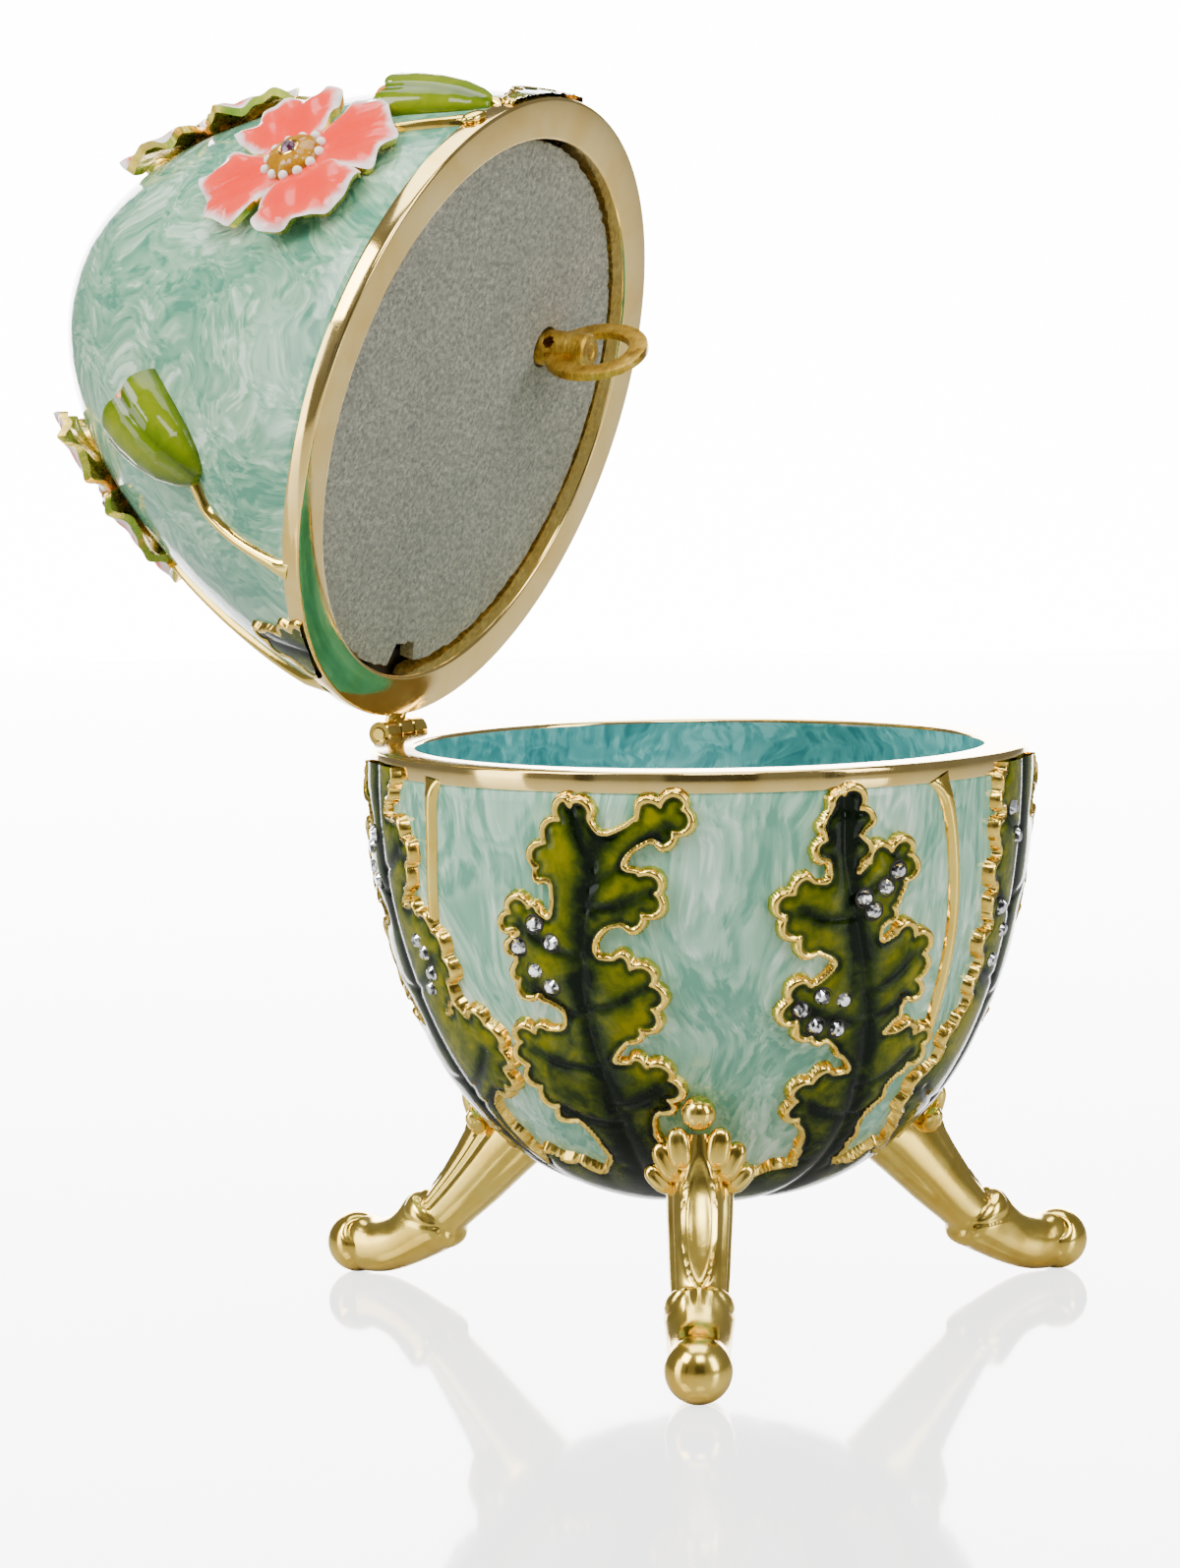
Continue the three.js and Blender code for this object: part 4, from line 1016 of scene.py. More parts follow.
lidTips = [
    {"name": "lid_leaf_tip_left", "centre": 42.0,
     "outline": [(36.0, 0.4), (35.2, 2.2), (36.6, 3.4), (36.0, 5.2), (37.6, 7.0), (39.4, 7.6), (40.6, 6.0),
                 (42.4, 5.6), (43.0, 3.8), (45.2, 3.6), (46.4, 2.0), (47.4, 0.4)],
     "midrib": [(42.6, -1.0), (40.6, 3.0), (38.4, 6.4)]},
    {"name": "lid_leaf_tips_right", "centre": 178.0,
     "outline": [(166.5, 0.5), (168.0, 2.2), (170.2, 1.9), (172.0, 3.2), (174.6, 2.8), (176.6, 4.2),
                 (179.0, 3.0), (181.4, 3.2), (183.2, 1.9), (185.4, 1.7), (187.0, 0.5)],
     "midrib": [(182.0, -1.0), (179.0, 2.0), (176.0, 4.0)]},
]


def makeLidTip(tip):
    asChart = lambda pairs: chart(
        lidHalf, tip["centre"], [a for a, d in pairs], np.array([d for a, d in pairs])
    )
    outline, teeth = toothedOutline(smoothLine(asChart(tip["outline"]), 6, True), 2.4, 0.3)
    rib = smoothLine(asChart(tip["midrib"]), 6)
    low, high = outline.min(0) - 1.1, outline.max(0) + 1.1
    low[1] = 0.4
    bm, flat = gridPatch(*[int((high[k] - low[k]) / 0.2) for k in (0, 1)])
    across = low[0] + (high[0] - low[0]) * (flat[:, 0] + 1) / 2
    arc = low[1] + (high[1] - low[1]) * (flat[:, 1] + 1) / 2
    depth = depthOf(lidHalf, arc)
    points = np.stack([across, arc], axis=-1)
    edge, run = lineDistance(points, outline, True)
    crease, _ = lineDistance(points, rib, False)
    bead = np.interp(run, runAlong(outline), teeth)
    half = leafShape["borderHalf"] + leafShape["beadHalf"] * bead
    border = 0.55 * np.sqrt(1 - np.clip(np.abs(edge - 0.1) / half, 0, 1) ** 2)
    field = 0.2 + 0.2 * (1 - np.exp(-crease))
    height = np.where(edge < 0, np.maximum(field, border), border)
    height = np.where(edge > half + 0.1, leafShape["sunk"], height)
    angle = tip["centre"] + np.degrees(across / radiusAt(lidHalf, depth))
    moveVerts(bm, onEgg(lidHalf, angle, depth, height))
    setShade(bm, "edge", edge)
    setShade(bm, "shade", np.clip(0.75 - 0.7 * np.exp(-(crease**2)), 0, 1))
    bm.verts.index_update()
    dropOutside(bm, height < 0)
    bmesh.ops.recalc_face_normals(bm, faces=bm.faces)
    finishPiece(bm, tip["name"], [leafGreen], "lid", place=lidPlace, sharpAt=None)


for tip in lidTips:
    makeLidTip(tip)


stoneShape = {"radius": 0.92, "height": 0.62, "sides": 10, "lift": 0.62}


# A brilliant: girdle, sloped crown and a flat table.
def stoneMesh(radius=stoneShape["radius"]):
    sides = stoneShape["sides"]
    height = stoneShape["height"] * radius / stoneShape["radius"]
    bm = bmesh.new()
    made = bmesh.ops.create_cone(
        bm, cap_ends=True, segments=sides, radius1=radius, radius2=radius * 0.56, depth=height
    )
    top = [v for v in made["verts"] if v.co.z > 0]
    bmesh.ops.rotate(bm, verts=top, cent=(0, 0, 0), matrix=Matrix.Rotation(math.pi / sides, 3, "Z"))
    sides4 = [f for f in bm.faces if len(f.verts) == 4]
    bmesh.ops.triangulate(bm, faces=sides4)
    for edge in bm.edges:
        edge.smooth = False
    return bm


def collarMesh(radius, thick):
    turns = np.linspace(0, 2 * math.pi, 9)
    return spinProfile([(radius + thick * math.cos(t), thick * 1.3 * math.sin(t)) for t in turns], 20)


def makeLeafStones(leaf):
    form = leafForms[leaf["form"]]
    spots = form["stones"][-leaf["stones"]:]
    bm = bmesh.new()
    for angle, depth in spots:
        seat = seatOn(bowlHalf, angle + leaf["shift"], depth, stoneShape["lift"], random.uniform(0, 36))
        tilt = Matrix.Rotation(random.uniform(-0.09, 0.09), 4, "X")
        addMesh(bm, stoneMesh(), seat @ tilt @ Matrix.Translation((0, 0, 0.22)), 0)
        # Dark ring round each stone: painted shade where the stone sits in the enamel.
        addMesh(bm, collarMesh(stoneShape["radius"] + 0.03, 0.1), seat, 1)
    replaced = [f"{leaf['name']}_stone_{i + 1}" for i in range(leaf["stones"])]
    materials = [clearCrystal, paintedShadowDark]
    finishPiece(bm, leaf["name"] + "_stones", materials, "base", replaced, sharpAt=25)


for leaf in leaves:
    makeLeafStones(leaf)
print("stones set")


flowers = [
    {"name": "front_flower", "at": 135.5, "depth": 16.0, "turn": 0.0, "seed": 3},
    {"name": "top_flower", "at": 177.0, "depth": 37.0, "turn": 20.0, "seed": 8},
    {"name": "left_flower", "at": 22.0, "depth": 34.0, "turn": -10.0, "seed": 5},
    {"name": "back_flower", "at": 258.0, "depth": 17.0, "turn": 35.0, "seed": 6},
]
flowerShape = {
    "radius": 11.0,
    "petals": [40, 131, 225, 305],
    "halfWidth": 6.0,
    "rise": 1.9,
    "foot": 0.55,
    "ruffle": 0.55,
    "thickness": 0.75,
    "eyeRadius": 3.0,
    "eyeHeight": 1.7,
    "fringe": 12,
    "cells": 54,
    "throat": 1.1,
    "sag": 62.0,
}


# One petal in the flower's own frame, pointing along x. Edge is the distance in from its edge.
def petalMesh(seed, length, overlap):
    rng = np.random.default_rng(seed)
    shape = flowerShape
    bm, flat = gridPatch(shape["cells"], shape["cells"])
    u = flat[:, 0] * np.sqrt(1 - flat[:, 1] ** 2 / 2)
    v = flat[:, 1] * np.sqrt(1 - flat[:, 0] ** 2 / 2)
    out = np.hypot(u, v)
    turn = np.arctan2(u, v)
    phase = rng.uniform(0, 6.28, 3)
    far = np.clip(np.cos(turn) * 0.5 + 0.62, 0, 1)
    rim = 1 + far * (0.045 * np.sin(6 * turn + phase[0]) + 0.016 * np.sin(12 * turn + phase[1]))
    rim = rim - 0.09 * np.exp(-((turn / 0.26) ** 2)) * (seed % 2)
    half = (length - shape["throat"]) / 2
    reach = shape["throat"] + half * (1 + v * rim)
    share = np.clip((reach - shape["throat"]) / (2 * half), 0, 1)
    side = shape["halfWidth"] * u * rim * (0.50 + 0.62 * np.clip(share * 1.25, 0, 1))
    ruffled = out**5 * far
    waves = np.sin(6 * turn + phase[2]) + 0.3 * np.sin(11 * turn + phase[1])
    height = shape["foot"] + shape["rise"] * share**0.9 + 0.5 * (side / shape["halfWidth"]) ** 2
    height = height + shape["ruffle"] * ruffled * waves + overlap * share - 0.35 * out**8
    fold = np.exp(-((side / 0.9) ** 2)) * share * (1 - share)
    pleat = 0.10 * np.sin(side * 2.6 + phase[0]) * share
    height = height - 0.9 * fold + pleat - (reach**2 + side**2) / shape["sag"]
    front = np.stack([reach, side, height], axis=-1)
    moveVerts(bm, front)
    setShade(bm, "edge", np.where(share < 0.2, 3.0, (1 - out) * half))
    setShade(bm, "shade", np.clip(0.05 + 0.75 * out**2.5 - 0.15 * (1 - share) + 0.5 * pleat, 0, 1))
    inwards = 1 - 0.05 * out[:, None] ** 6
    backSheet(bm, front * np.hstack([inwards, inwards, np.ones_like(inwards)]) - (0, 0, shape["thickness"]))
    bm.normal_update()
    for face in bm.faces:
        face.material_index = 1 if face.normal.z < 0.05 else 0
    return bm


def eyeMesh():
    shape = flowerShape
    r, h = shape["eyeRadius"], shape["eyeHeight"]
    profile = [(0, 0.3 + h), (1.0, 0.28 + h), (1.3, 0.34 + h), (2.1, 0.12 + h), (r * 0.92, h * 0.75),
               (r, h * 0.3), (r, -0.2), (0, -0.2)]
    bm = spinProfile([tuple(p) for p in smoothLine(profile, 4)], 40)
    for vert in bm.verts:
        turn = math.atan2(vert.co.y, vert.co.x)
        reach = vert.co.xy.length / r
        vert.co.z += 0.12 * math.sin(12 * turn) * reach**2
    return bm


def makeFlower(flower):
    shape = flowerShape
    rng = np.random.default_rng(flower["seed"])
    bm = bmesh.new()
    for i, turn in enumerate(shape["petals"]):
        length = shape["radius"] * rng.uniform(0.95, 1.03)
        petal = petalMesh(flower["seed"] * 10 + i, length, 0.0 if i % 2 else 0.35)
        addMesh(bm, petal, Matrix.Rotation(math.radians(turn), 4, "Z"))
    addMesh(bm, eyeMesh(), slotIndex=2)
    for i in range(shape["fringe"]):
        turn = 2 * math.pi * (i + 0.5) / shape["fringe"]
        reach = shape["eyeRadius"] + rng.uniform(-0.15, 0.15)
        at = (reach * math.cos(turn), reach * math.sin(turn), shape["eyeHeight"] * 0.55)
        addMesh(bm, ballMesh(0.52, 12, 8), Matrix.Translation(at), 3)
    seat = seatOn(lidHalf, flower["at"], flower["depth"], 0.1, flower["turn"])
    bmesh.ops.transform(bm, matrix=seat, verts=bm.verts)
    materials = [petalSalmon, undersideGold, eyeYellow, beadWhite]
    finishPiece(bm, flower["name"], materials, "lid", [flower["name"]], lidPlace, 60)
    stone = bmesh.new()
    high = shape["eyeHeight"] + 0.55
    addMesh(stone, stoneMesh(0.95), seat @ Matrix.Translation((0, 0, high)), 0)
    addMesh(stone, collarMesh(1.02, 0.12), seat @ Matrix.Translation((0, 0, high - 0.25)), 1)
    name = flower["name"] + "_stone"
    finishPiece(stone, name, [pinkCrystal, polishedGold], "lid", [name], lidPlace, 25)


for flower in flowers:
    makeFlower(flower)
print("flowers made")


buds = [
    {"name": "left_bud", "at": 69.5, "depth": 13.8, "turn": 15.0, "height": 4.5},
    {"name": "right_bud", "at": 163.0, "depth": 2.4, "turn": -6.0, "height": 2.7},
    {"name": "back_bud", "at": 310.0, "depth": 10.5, "turn": 8.0, "height": 4.4},
]
budShape = {
    "length": 11.2,
    "width": 9.4,
    "rows": 44,
    "columns": 48,
    "stones": 4,
    "along": [0, 0.05, 0.14, 0.32, 0.55, 0.8, 1],
    "wide": [0.20, 0.34, 0.52, 0.72, 0.86, 0.97, 1.02],
    "high": [0.24, 0.36, 0.52, 0.76, 0.92, 1.0, 1.0],
}


# Half-round cup of three tepals laid on the lid, open at the far end, with a shorter or longer
# inner cup; inner 1 turns the teeth by half a tooth.
def budMesh(bud, size=1.0, reach=1.0, inner=0):
    shape = budShape
    bm, flat = gridPatch(shape["columns"], shape["rows"])
    u = flat[:, 0]
    v = (flat[:, 1] + 1) / 2
    swing = u * math.pi / 2
    wide = np.interp(v, shape["along"], shape["wide"]) * size
    high = np.interp(v, shape["along"], shape["high"]) * size
    fold = 1 - 0.06 * np.exp(-(((np.abs(u) - 0.333) / 0.075) ** 2)) * np.clip(v * 1.7 - 0.2, 0, 1)
    tooth = np.abs(np.cos((1.5 * u + 0.5 * inner) * math.pi)) ** 0.7
    tooth = np.maximum(tooth, np.clip((np.abs(u) - 0.62) * 20, 0, 1))
    along = shape["length"] * reach * v * (0.91 + 0.09 * tooth)
    across = np.sin(swing) * wide * shape["width"] / 2 * fold
    lift = np.cos(swing) * high * bud["height"] * fold - 0.15
    turn = math.radians(bud["turn"])
    x = across * math.cos(turn) + along * math.sin(turn)
    y = along * math.cos(turn) - across * math.sin(turn)
    arc = arcOf(lidHalf, bud["depth"]) + y
    depth = depthOf(lidHalf, arc)
    angle = bud["at"] + np.degrees(x / radiusAt(lidHalf, depth))
    moveVerts(bm, onEgg(lidHalf, angle, depth, lift))
    back = onEgg(lidHalf, bud["at"] + (angle - bud["at"]) * 0.88, depth, lift * 0.82 - 0.5)
    setShade(bm, "edge", np.clip((v - 0.55) / 0.45, 0, 1) * (0.75 if inner else 0.42) + 0.35 * inner)
    setShade(bm, "shade", 0.42 + 0.42 * np.abs(np.cos(u * math.pi * 1.5)) - 0.22 * (1 - v) - 0.3 * v**8)
    backSheet(bm, back)
    return bm


def budSpot(bud, across, along, lift):
    turn = math.radians(bud["turn"])
    x = across * math.cos(turn) + along * math.sin(turn)
    y = along * math.cos(turn) - across * math.sin(turn)
    depth = float(depthOf(lidHalf, arcOf(lidHalf, bud["depth"]) + y))
    angle = bud["at"] + math.degrees(x / float(radiusAt(lidHalf, depth)))
    return seatOn(lidHalf, angle, depth, lift, -bud["turn"])


def makeBud(bud):
    shape = budShape
    bm = bmesh.new()
    addMesh(bm, budMesh(bud))
    addMesh(bm, budMesh(bud, 0.74, 1.06, 1), slotIndex=0)
    core = ballMesh(1.0, 32, 20)
    inside = budSpot(bud, 0, shape["length"] * 0.84, bud["height"] * 0.1)
    addMesh(bm, core, inside @ Matrix.Diagonal((shape["width"] * 0.32, 1.8, bud["height"] * 0.5, 1)), 1)
    for i in range(shape["stones"]):
        swing = math.radians(-57 + 38 * i)
        across = math.sin(swing) * shape["width"] * 0.44
        lift = math.cos(swing) * bud["height"] * 0.80
        seat = budSpot(bud, across, shape["length"] * 0.945, lift)
        lean = Matrix.Rotation(math.radians(-48), 4, "X") @ Matrix.Rotation(swing * 0.7, 4, "Y")
        addMesh(bm, stoneMesh(0.72), seat @ lean, 2)
    bmesh.ops.recalc_face_normals(bm, faces=bm.faces)
    materials = [budGreen, budInside, greenCrystal]
    finishPiece(bm, bud["name"], materials, "lid", place=lidPlace, sharpAt=50)


budInside = plainEnamel(
    "bud_inside", [(0.3, (0.55, 0.10, 0.01)), (0.55, (0.85, 0.26, 0.02)), (0.75, (0.90, 0.45, 0.08))], 0.6
)
for bud in buds:
    makeBud(bud)
print("buds made")


# Stations down a leg, in its own upright plane: outer point, inner point, half width.
legShape = {
    "first": -5.0,
    "stations": [
        ((26.6, 22.6), (20.6, 21.6), 1.6), ((26.9, 21.2), (18.4, 20.0), 2.3),
        ((27.4, 18.2), (15.4, 17.4), 3.2), ((28.7, 15.4), (18.4, 15.0), 3.25),
        ((30.5, 12.7), (21.9, 12.1), 3.1), ((32.4, 10.3), (25.7, 8.8), 2.95),
        ((33.6, 9.0), (28.8, 6.3), 2.8), ((34.1, 9.4), (29.6, 5.5), 2.9),
        ((34.9, 9.2), (30.2, 4.3), 3.15), ((36.7, 7.6), (32.8, 2.7), 3.15),
        ((38.2, 6.5), (35.8, 1.3), 3.0), ((40.2, 5.9), (38.6, 0.4), 2.9),
        ((41.6, 6.1), (41.4, 0.2), 2.75), ((43.4, 6.0), (43.0, 0.6), 2.3),
    ],
    "perSpan": 9,
    "sides": 96,
    "foot": {"r": 42.8, "z": 3.2, "radius": 3.22, "eye": (41.6, 4.9), "eyeRadius": 0.75},
    "finial": {"r": 26.2, "z": 24.6, "radius": 1.7},
    "lobes": [
        {"at": (26.5, 1.9, 21.2), "size": (0.9, 1.2, 2.1), "lean": -8},
        {"at": (25.8, 3.1, 19.8), "size": (1.0, 1.15, 2.1), "lean": -26},
        {"at": (24.9, 3.9, 18.0), "size": (1.0, 1.0, 1.7), "lean": -44},
    ],
    "almond": {"from": 1.0, "rows": 4.8, "half": 0.46, "ridge": 0.07, "sunk": 0.05},
    "grooves": [(0.86, 0.10), (1.22, 0.08), (-0.95, 0.05)],
}


# How far a section point stands out, by its turn from the front and its row down the leg.
def fluteAt(turn, row):
    almond = legShape["almond"]
    signed = (turn + math.pi) % (2 * math.pi) - math.pi
    away = np.abs(signed)
    body = np.clip((row - 1.2) / 1.2, 0, 1) * np.clip((7.6 - row) / 0.9, 0, 1)
    share = np.clip((row - almond["from"]) / almond["rows"], 0, 1)
    half = almond["half"] * np.sin(math.pi * share) ** 0.7
    ridge = almond["ridge"] * np.exp(-(((away - half) / 0.09) ** 2))
    sunk = almond["sunk"] * np.clip((half - away) / 0.1, 0, 1)
    grooves = sum(deep * np.exp(-(((signed - at) / 0.10) ** 2)) for at, deep in legShape["grooves"])
    back = 0.08 * np.exp(-(((away - 2.2) / 0.16) ** 2)) * np.clip((5.2 - row) / 1.5, 0, 1)
    blade = np.exp(-(((row - 8.1) / 0.7) ** 2)) * (0.08 - 0.20 * np.exp(-((away / 0.16) ** 2)))
    lines = 0.05 * np.exp(-(((row - 7.2 - 1.4 * np.abs(np.sin(1.5 * away))) / 0.14) ** 2))
    return 1 + body * (ridge - sunk - grooves) - back + blade - lines


def legRun():
    rows = []
    for outer, inner, width in legShape["stations"]:
        rows.append([*outer, *inner, width])
    return smoothLine(rows, legShape["perSpan"])


def legMesh():
    run = legRun()
    sides = legShape["sides"]
    rowOf = np.arange(len(run)) / legShape["perSpan"]
    bm = bmesh.new()
    loops = []
    for (ox, oz, ix, iz, width), row in zip(run, rowOf):
        made = bmesh.ops.create_circle(bm, segments=sides, radius=1)
        verts = made["verts"]
        turn = np.array([math.atan2(v.co.y, v.co.x) for v in verts])
        stand = fluteAt(turn, row)
        squarer = 0.86
        along = np.sign(np.cos(turn)) * np.abs(np.cos(turn)) ** squarer * stand
        across = np.sign(np.sin(turn)) * np.abs(np.sin(turn)) ** squarer * stand
        for v, a, c in zip(verts, along, across):
            v.co = ((ox + ix) / 2 + (ox - ix) / 2 * a, width * c, (oz + iz) / 2 + (oz - iz) / 2 * a)
        loops.append(list({e for v in verts for e in v.link_edges}))
    for first, second in zip(loops, loops[1:]):
        bmesh.ops.bridge_loops(bm, edges=first + second)
    bmesh.ops.holes_fill(bm, edges=bm.edges, sides=0)
    return bm


def footMesh():
    foot = legShape["foot"]
    bm = ballMesh(foot["radius"], 56, 36)
    ex, ez = foot["eye"][0] - foot["r"], foot["eye"][1] - foot["z"]
    for vert in bm.verts:
        gap = math.hypot(vert.co.x - ex, vert.co.z - ez)
        dent = 1.5 * math.exp(-((gap / foot["eyeRadius"]) ** 2))
        vert.co.y -= math.copysign(min(dent, abs(vert.co.y)), vert.co.y)
        vert.co.z = max(vert.co.z, -foot["z"])
    return bm


# A blunt leaf lobe with a crease down its front.
def lobeMesh():
    bm = ballMesh(1, 28, 20)
    for vert in bm.verts:
        vert.co.z = math.copysign(abs(vert.co.z) ** 0.75, vert.co.z)
        vert.co.x -= 0.2 * math.exp(-((vert.co.y / 0.3) ** 2)) * (vert.co.x > 0) * (1 - vert.co.z**2 * 0.6)
    return bm


def makeLeg(index, side):
    bm = bmesh.new()
    addMesh(bm, legMesh())
    foot, finial = legShape["foot"], legShape["finial"]
    addMesh(bm, footMesh(), Matrix.Translation((foot["r"], 0, foot["z"])))
    addMesh(bm, ballMesh(finial["radius"], 32, 20), Matrix.Translation((finial["r"], 0, finial["z"])))
    for lobe in legShape["lobes"]:
        for hand in (-1, 1):
            x, y, z = lobe["at"]
            lean = Matrix.Rotation(math.radians(hand * lobe["lean"]), 4, "X")
            size = Matrix.Diagonal((*lobe["size"], 1))
            addMesh(bm, lobeMesh(), Matrix.Translation((x, hand * y, z)) @ lean @ size)
    bmesh.ops.recalc_face_normals(bm, faces=bm.faces)
    place = bowlPlace @ Matrix.Rotation(math.radians(90 + legShape["first"] + 120 * index), 4, "Z")
    name = f"leg_{side}"
    finishPiece(bm, name, [legGold], "base", [name], place, 55)


for index, side in enumerate(["left", "front", "right"]):
    makeLeg(index, side)
print("legs made")


hingeShape = {
    "knuckle": 1.28, "bore": 0.72, "pin": 0.6, "length": 2.5, "gap": 0.3,
    "notchWidth": 9.6, "tab": 1.05, "soft": 0.12,
}


def tubeMesh(outer, inner, length, soft):
    half = length / 2
    profile = [
        (inner, -half), (outer - soft, -half), (outer, -half + soft), (outer, half - soft),
        (outer - soft, half), (inner, half), (inner, -half),
    ]
    return spinProfile(profile, 40)


def blockMesh(size, soft):
    bm = bmesh.new()
    bmesh.ops.create_cube(bm, size=1, matrix=Matrix.Diagonal((*size, 1)))
    bmesh.ops.bevel(bm, geom=bm.edges, offset=soft, segments=2, profile=0.5, affect="EDGES", material=-1)
    return bm


lieAlongX = Matrix.Rotation(math.pi / 2, 4, "Y")


def addKnuckle(bm, x, up, length=hingeShape["length"]):
    shape = hingeShape
    at = Matrix.Translation((x, egg["hingeReach"], hingeAt.z))
    addMesh(bm, tubeMesh(shape["knuckle"], shape["bore"], length, shape["soft"]), at @ lieAlongX)
    reach = egg["hingeReach"] - (egg["rimRadius"] - 0.8)
    tab = blockMesh((length, reach, shape["tab"]), 0.1)
    z = hingeAt.z + up * (0.2 + shape["tab"] / 2)
    addMesh(bm, tab, Matrix.Translation((x, egg["hingeReach"] - reach / 2, z)))


def makeHinge():
    shape = hingeShape
    span = shape["length"] + shape["gap"]
    leaf = bmesh.new()
    for side in (-1, 1):
        addKnuckle(leaf, side * span, -1)
    plate = blockMesh((shape["notchWidth"] - 0.6, 0.8, 1.3), 0.15)
    addMesh(leaf, plate, Matrix.Translation((0, egg["rimRadius"] + 0.1, bowlHalf["rimZ"] - 1.1)))
    finishPiece(leaf, "bowl_hinge_leaf", [polishedGold], "base", ["bowl_hinge_leaf"])
    knuckle = bmesh.new()
    addKnuckle(knuckle, 0, 1)
    name = "lid_hinge_knuckle"
    finishPiece(knuckle, name, [polishedGold], "lid", [name], lidPlace)
    pin = bmesh.new()
    length = 3 * shape["length"] + 2 * shape["gap"] + 0.4
    bmesh.ops.create_cone(
        pin, cap_ends=True, segments=32, radius1=shape["pin"], radius2=shape["pin"], depth=length
    )
    bmesh.ops.transform(
        pin, verts=pin.verts, matrix=Matrix.Translation((0, egg["hingeReach"], hingeAt.z)) @ lieAlongX
    )
    finishPiece(pin, "hinge_pin", [copperPin], "base", ["hinge_pin"])


makeHinge()
print("hinge made")


boardShape = {
    "radius": 28.1, "depth": 1.7, "thickness": 1.6, "ragged": 0.16, "nick": 5.0, "nickDeep": 2.4,
    "key": (13.9, -6.2), "hole": 2.25,
}


def makeBoard():
    shape = boardShape
    rng = random.Random(4)
    bm = bmesh.new()
    outer = bmesh.ops.create_circle(bm, segments=260, radius=shape["radius"])["verts"]
    for vert in outer:
        fromHinge = abs(math.degrees(math.atan2(vert.co.x, vert.co.y)))
        size = 1 - abs(rng.gauss(0, shape["ragged"])) / shape["radius"]
        if fromHinge < shape["nick"]:
            size -= shape["nickDeep"] / shape["radius"]
        vert.co *= size
    hole = bmesh.ops.create_circle(bm, segments=48, radius=shape["hole"])["verts"]
    bmesh.ops.translate(bm, verts=hole, vec=(*shape["key"], 0))
    bmesh.ops.triangle_fill(bm, edges=bm.edges, use_beauty=True)
    bmesh.ops.recalc_face_normals(bm, faces=bm.faces)
    made = bmesh.ops.extrude_face_region(bm, geom=list(bm.faces))
    top = [g for g in made["geom"] if isinstance(g, bmesh.types.BMVert)]
    bmesh.ops.translate(bm, verts=top, vec=(0, 0, shape["thickness"]))
    bmesh.ops.recalc_face_normals(bm, faces=bm.faces)
    bmesh.ops.translate(bm, verts=bm.verts, vec=(0, 0, lidHalf["rimZ"] + shape["depth"]))
    finishPiece(bm, "felt_board", [feltGrey], "lid", ["felt_board"], lidPlace)


# Painted shadow for the dark gap round the board: a thin dark liner inside the lid's rim.
def makeBoardGapShadow():
    z = lidHalf["rimZ"] + boardShape["depth"]
    r = egg["openingRadius"]
    profile = [
        (r - 1.3, z + 2.2), (r - 0.12, z + 2.2), (r - 0.12, z + 0.5), (r - 0.05, z + 0.5),
        (r - 0.05, z + 2.4), (r - 1.3, z + 2.4), (r - 1.3, z + 2.2),
    ]
    bm = spinProfile(profile, 160)
    finishPiece(bm, "board_gap_painted_shadow", [paintedShadowDark], "lid", place=lidPlace)


keyShape = {
    "hub": 1.9, "length": 5.4, "root": 1.3, "outer": 5.5, "inner": 3.5, "plate": 0.9, "centre": 6.05,
    "turn": 28.0, "lean": 12.0, "hole": 0.62, "holeAt": 1.25, "holeTurn": 40.0, "soft": 0.12,
}


def hubMesh():
    shape = keyShape
    low, high, soft = -shape["root"], shape["length"], 0.25
    middle = [(shape["hub"], z) for z in np.linspace(low + soft, high - soft, 34)]
    profile = [(0, low), (shape["hub"] - soft, low), *middle, (shape["hub"] - soft, high)]
    profile += [(0.9, high), (0.75, high - 0.12), (0, high - 0.18)]
    bm = spinProfile(profile, 72)
    inHole = []
    for face in bm.faces:
        centre = face.calc_center_median()
        if math.hypot(centre.x, centre.z - shape["holeAt"]) < shape["hole"] and abs(centre.y) > 1:
            inHole.append(face)
    bmesh.ops.delete(bm, geom=inHole, context="FACES")
    rims = [edge for edge in bm.edges if edge.is_boundary]
    made = bmesh.ops.extrude_edge_only(bm, edges=rims)
    for vert in made["geom"]:
        if isinstance(vert, bmesh.types.BMVert):
            vert.co.y *= 0.05
    turned = Matrix.Rotation(math.radians(shape["holeTurn"]), 3, "Z")
    bmesh.ops.rotate(bm, verts=bm.verts, cent=(0, 0, 0), matrix=turned)
    return bm


def ringMesh():
    shape = keyShape
    half, soft = shape["plate"] / 2, shape["soft"]
    a, b = shape["inner"], shape["outer"]
    profile = []
    for centre, start in (((b - soft, half - soft), 90), ((b - soft, soft - half), 0),
                          ((a + soft, soft - half), -90), ((a + soft, half - soft), -180)):
        profile += cornerArc(centre, soft, start, start - 90, 3)
    return spinProfile(profile + profile[:1], 96)


def makeKey():
    shape = keyShape
    bm = hubMesh()
    ring = ringMesh()
    addMesh(bm, ring, Matrix.Translation((0, 0, shape["centre"])) @ Matrix.Rotation(math.pi / 2, 4, "X"))
    x, y = boardShape["key"]
    seat = (
        Matrix.Translation((x, y, lidHalf["rimZ"] + boardShape["depth"]))
        @ Matrix.Rotation(math.radians(180 - shape["lean"]), 4, "X")
        @ Matrix.Rotation(math.radians(shape["turn"]), 4, "Z")
    )
    bmesh.ops.transform(bm, matrix=seat, verts=bm.verts)
    finishPiece(bm, "winding_key", [keyBrass], "key", ["winding_key"], lidPlace, 30)


makeBoard()
makeBoardGapShadow()
makeKey()
print("board and key made")


studio = {
    "floor": 9.0,
    "floorColour": (0.42, 0.42, 0.42),
    "floorGlow": 2.6,
    "world": (0.93, 0.95, 1.0, 1),
    "worldStrength": 0.22,
    "backdrop": 14.0,
    "camera": {
        "angle": 205.8, "distance": 477.8, "height": 99.14, "heading": 27.12, "pitch": 5.41,
        "roll": -0.67, "lens": 109.4,
    },
}


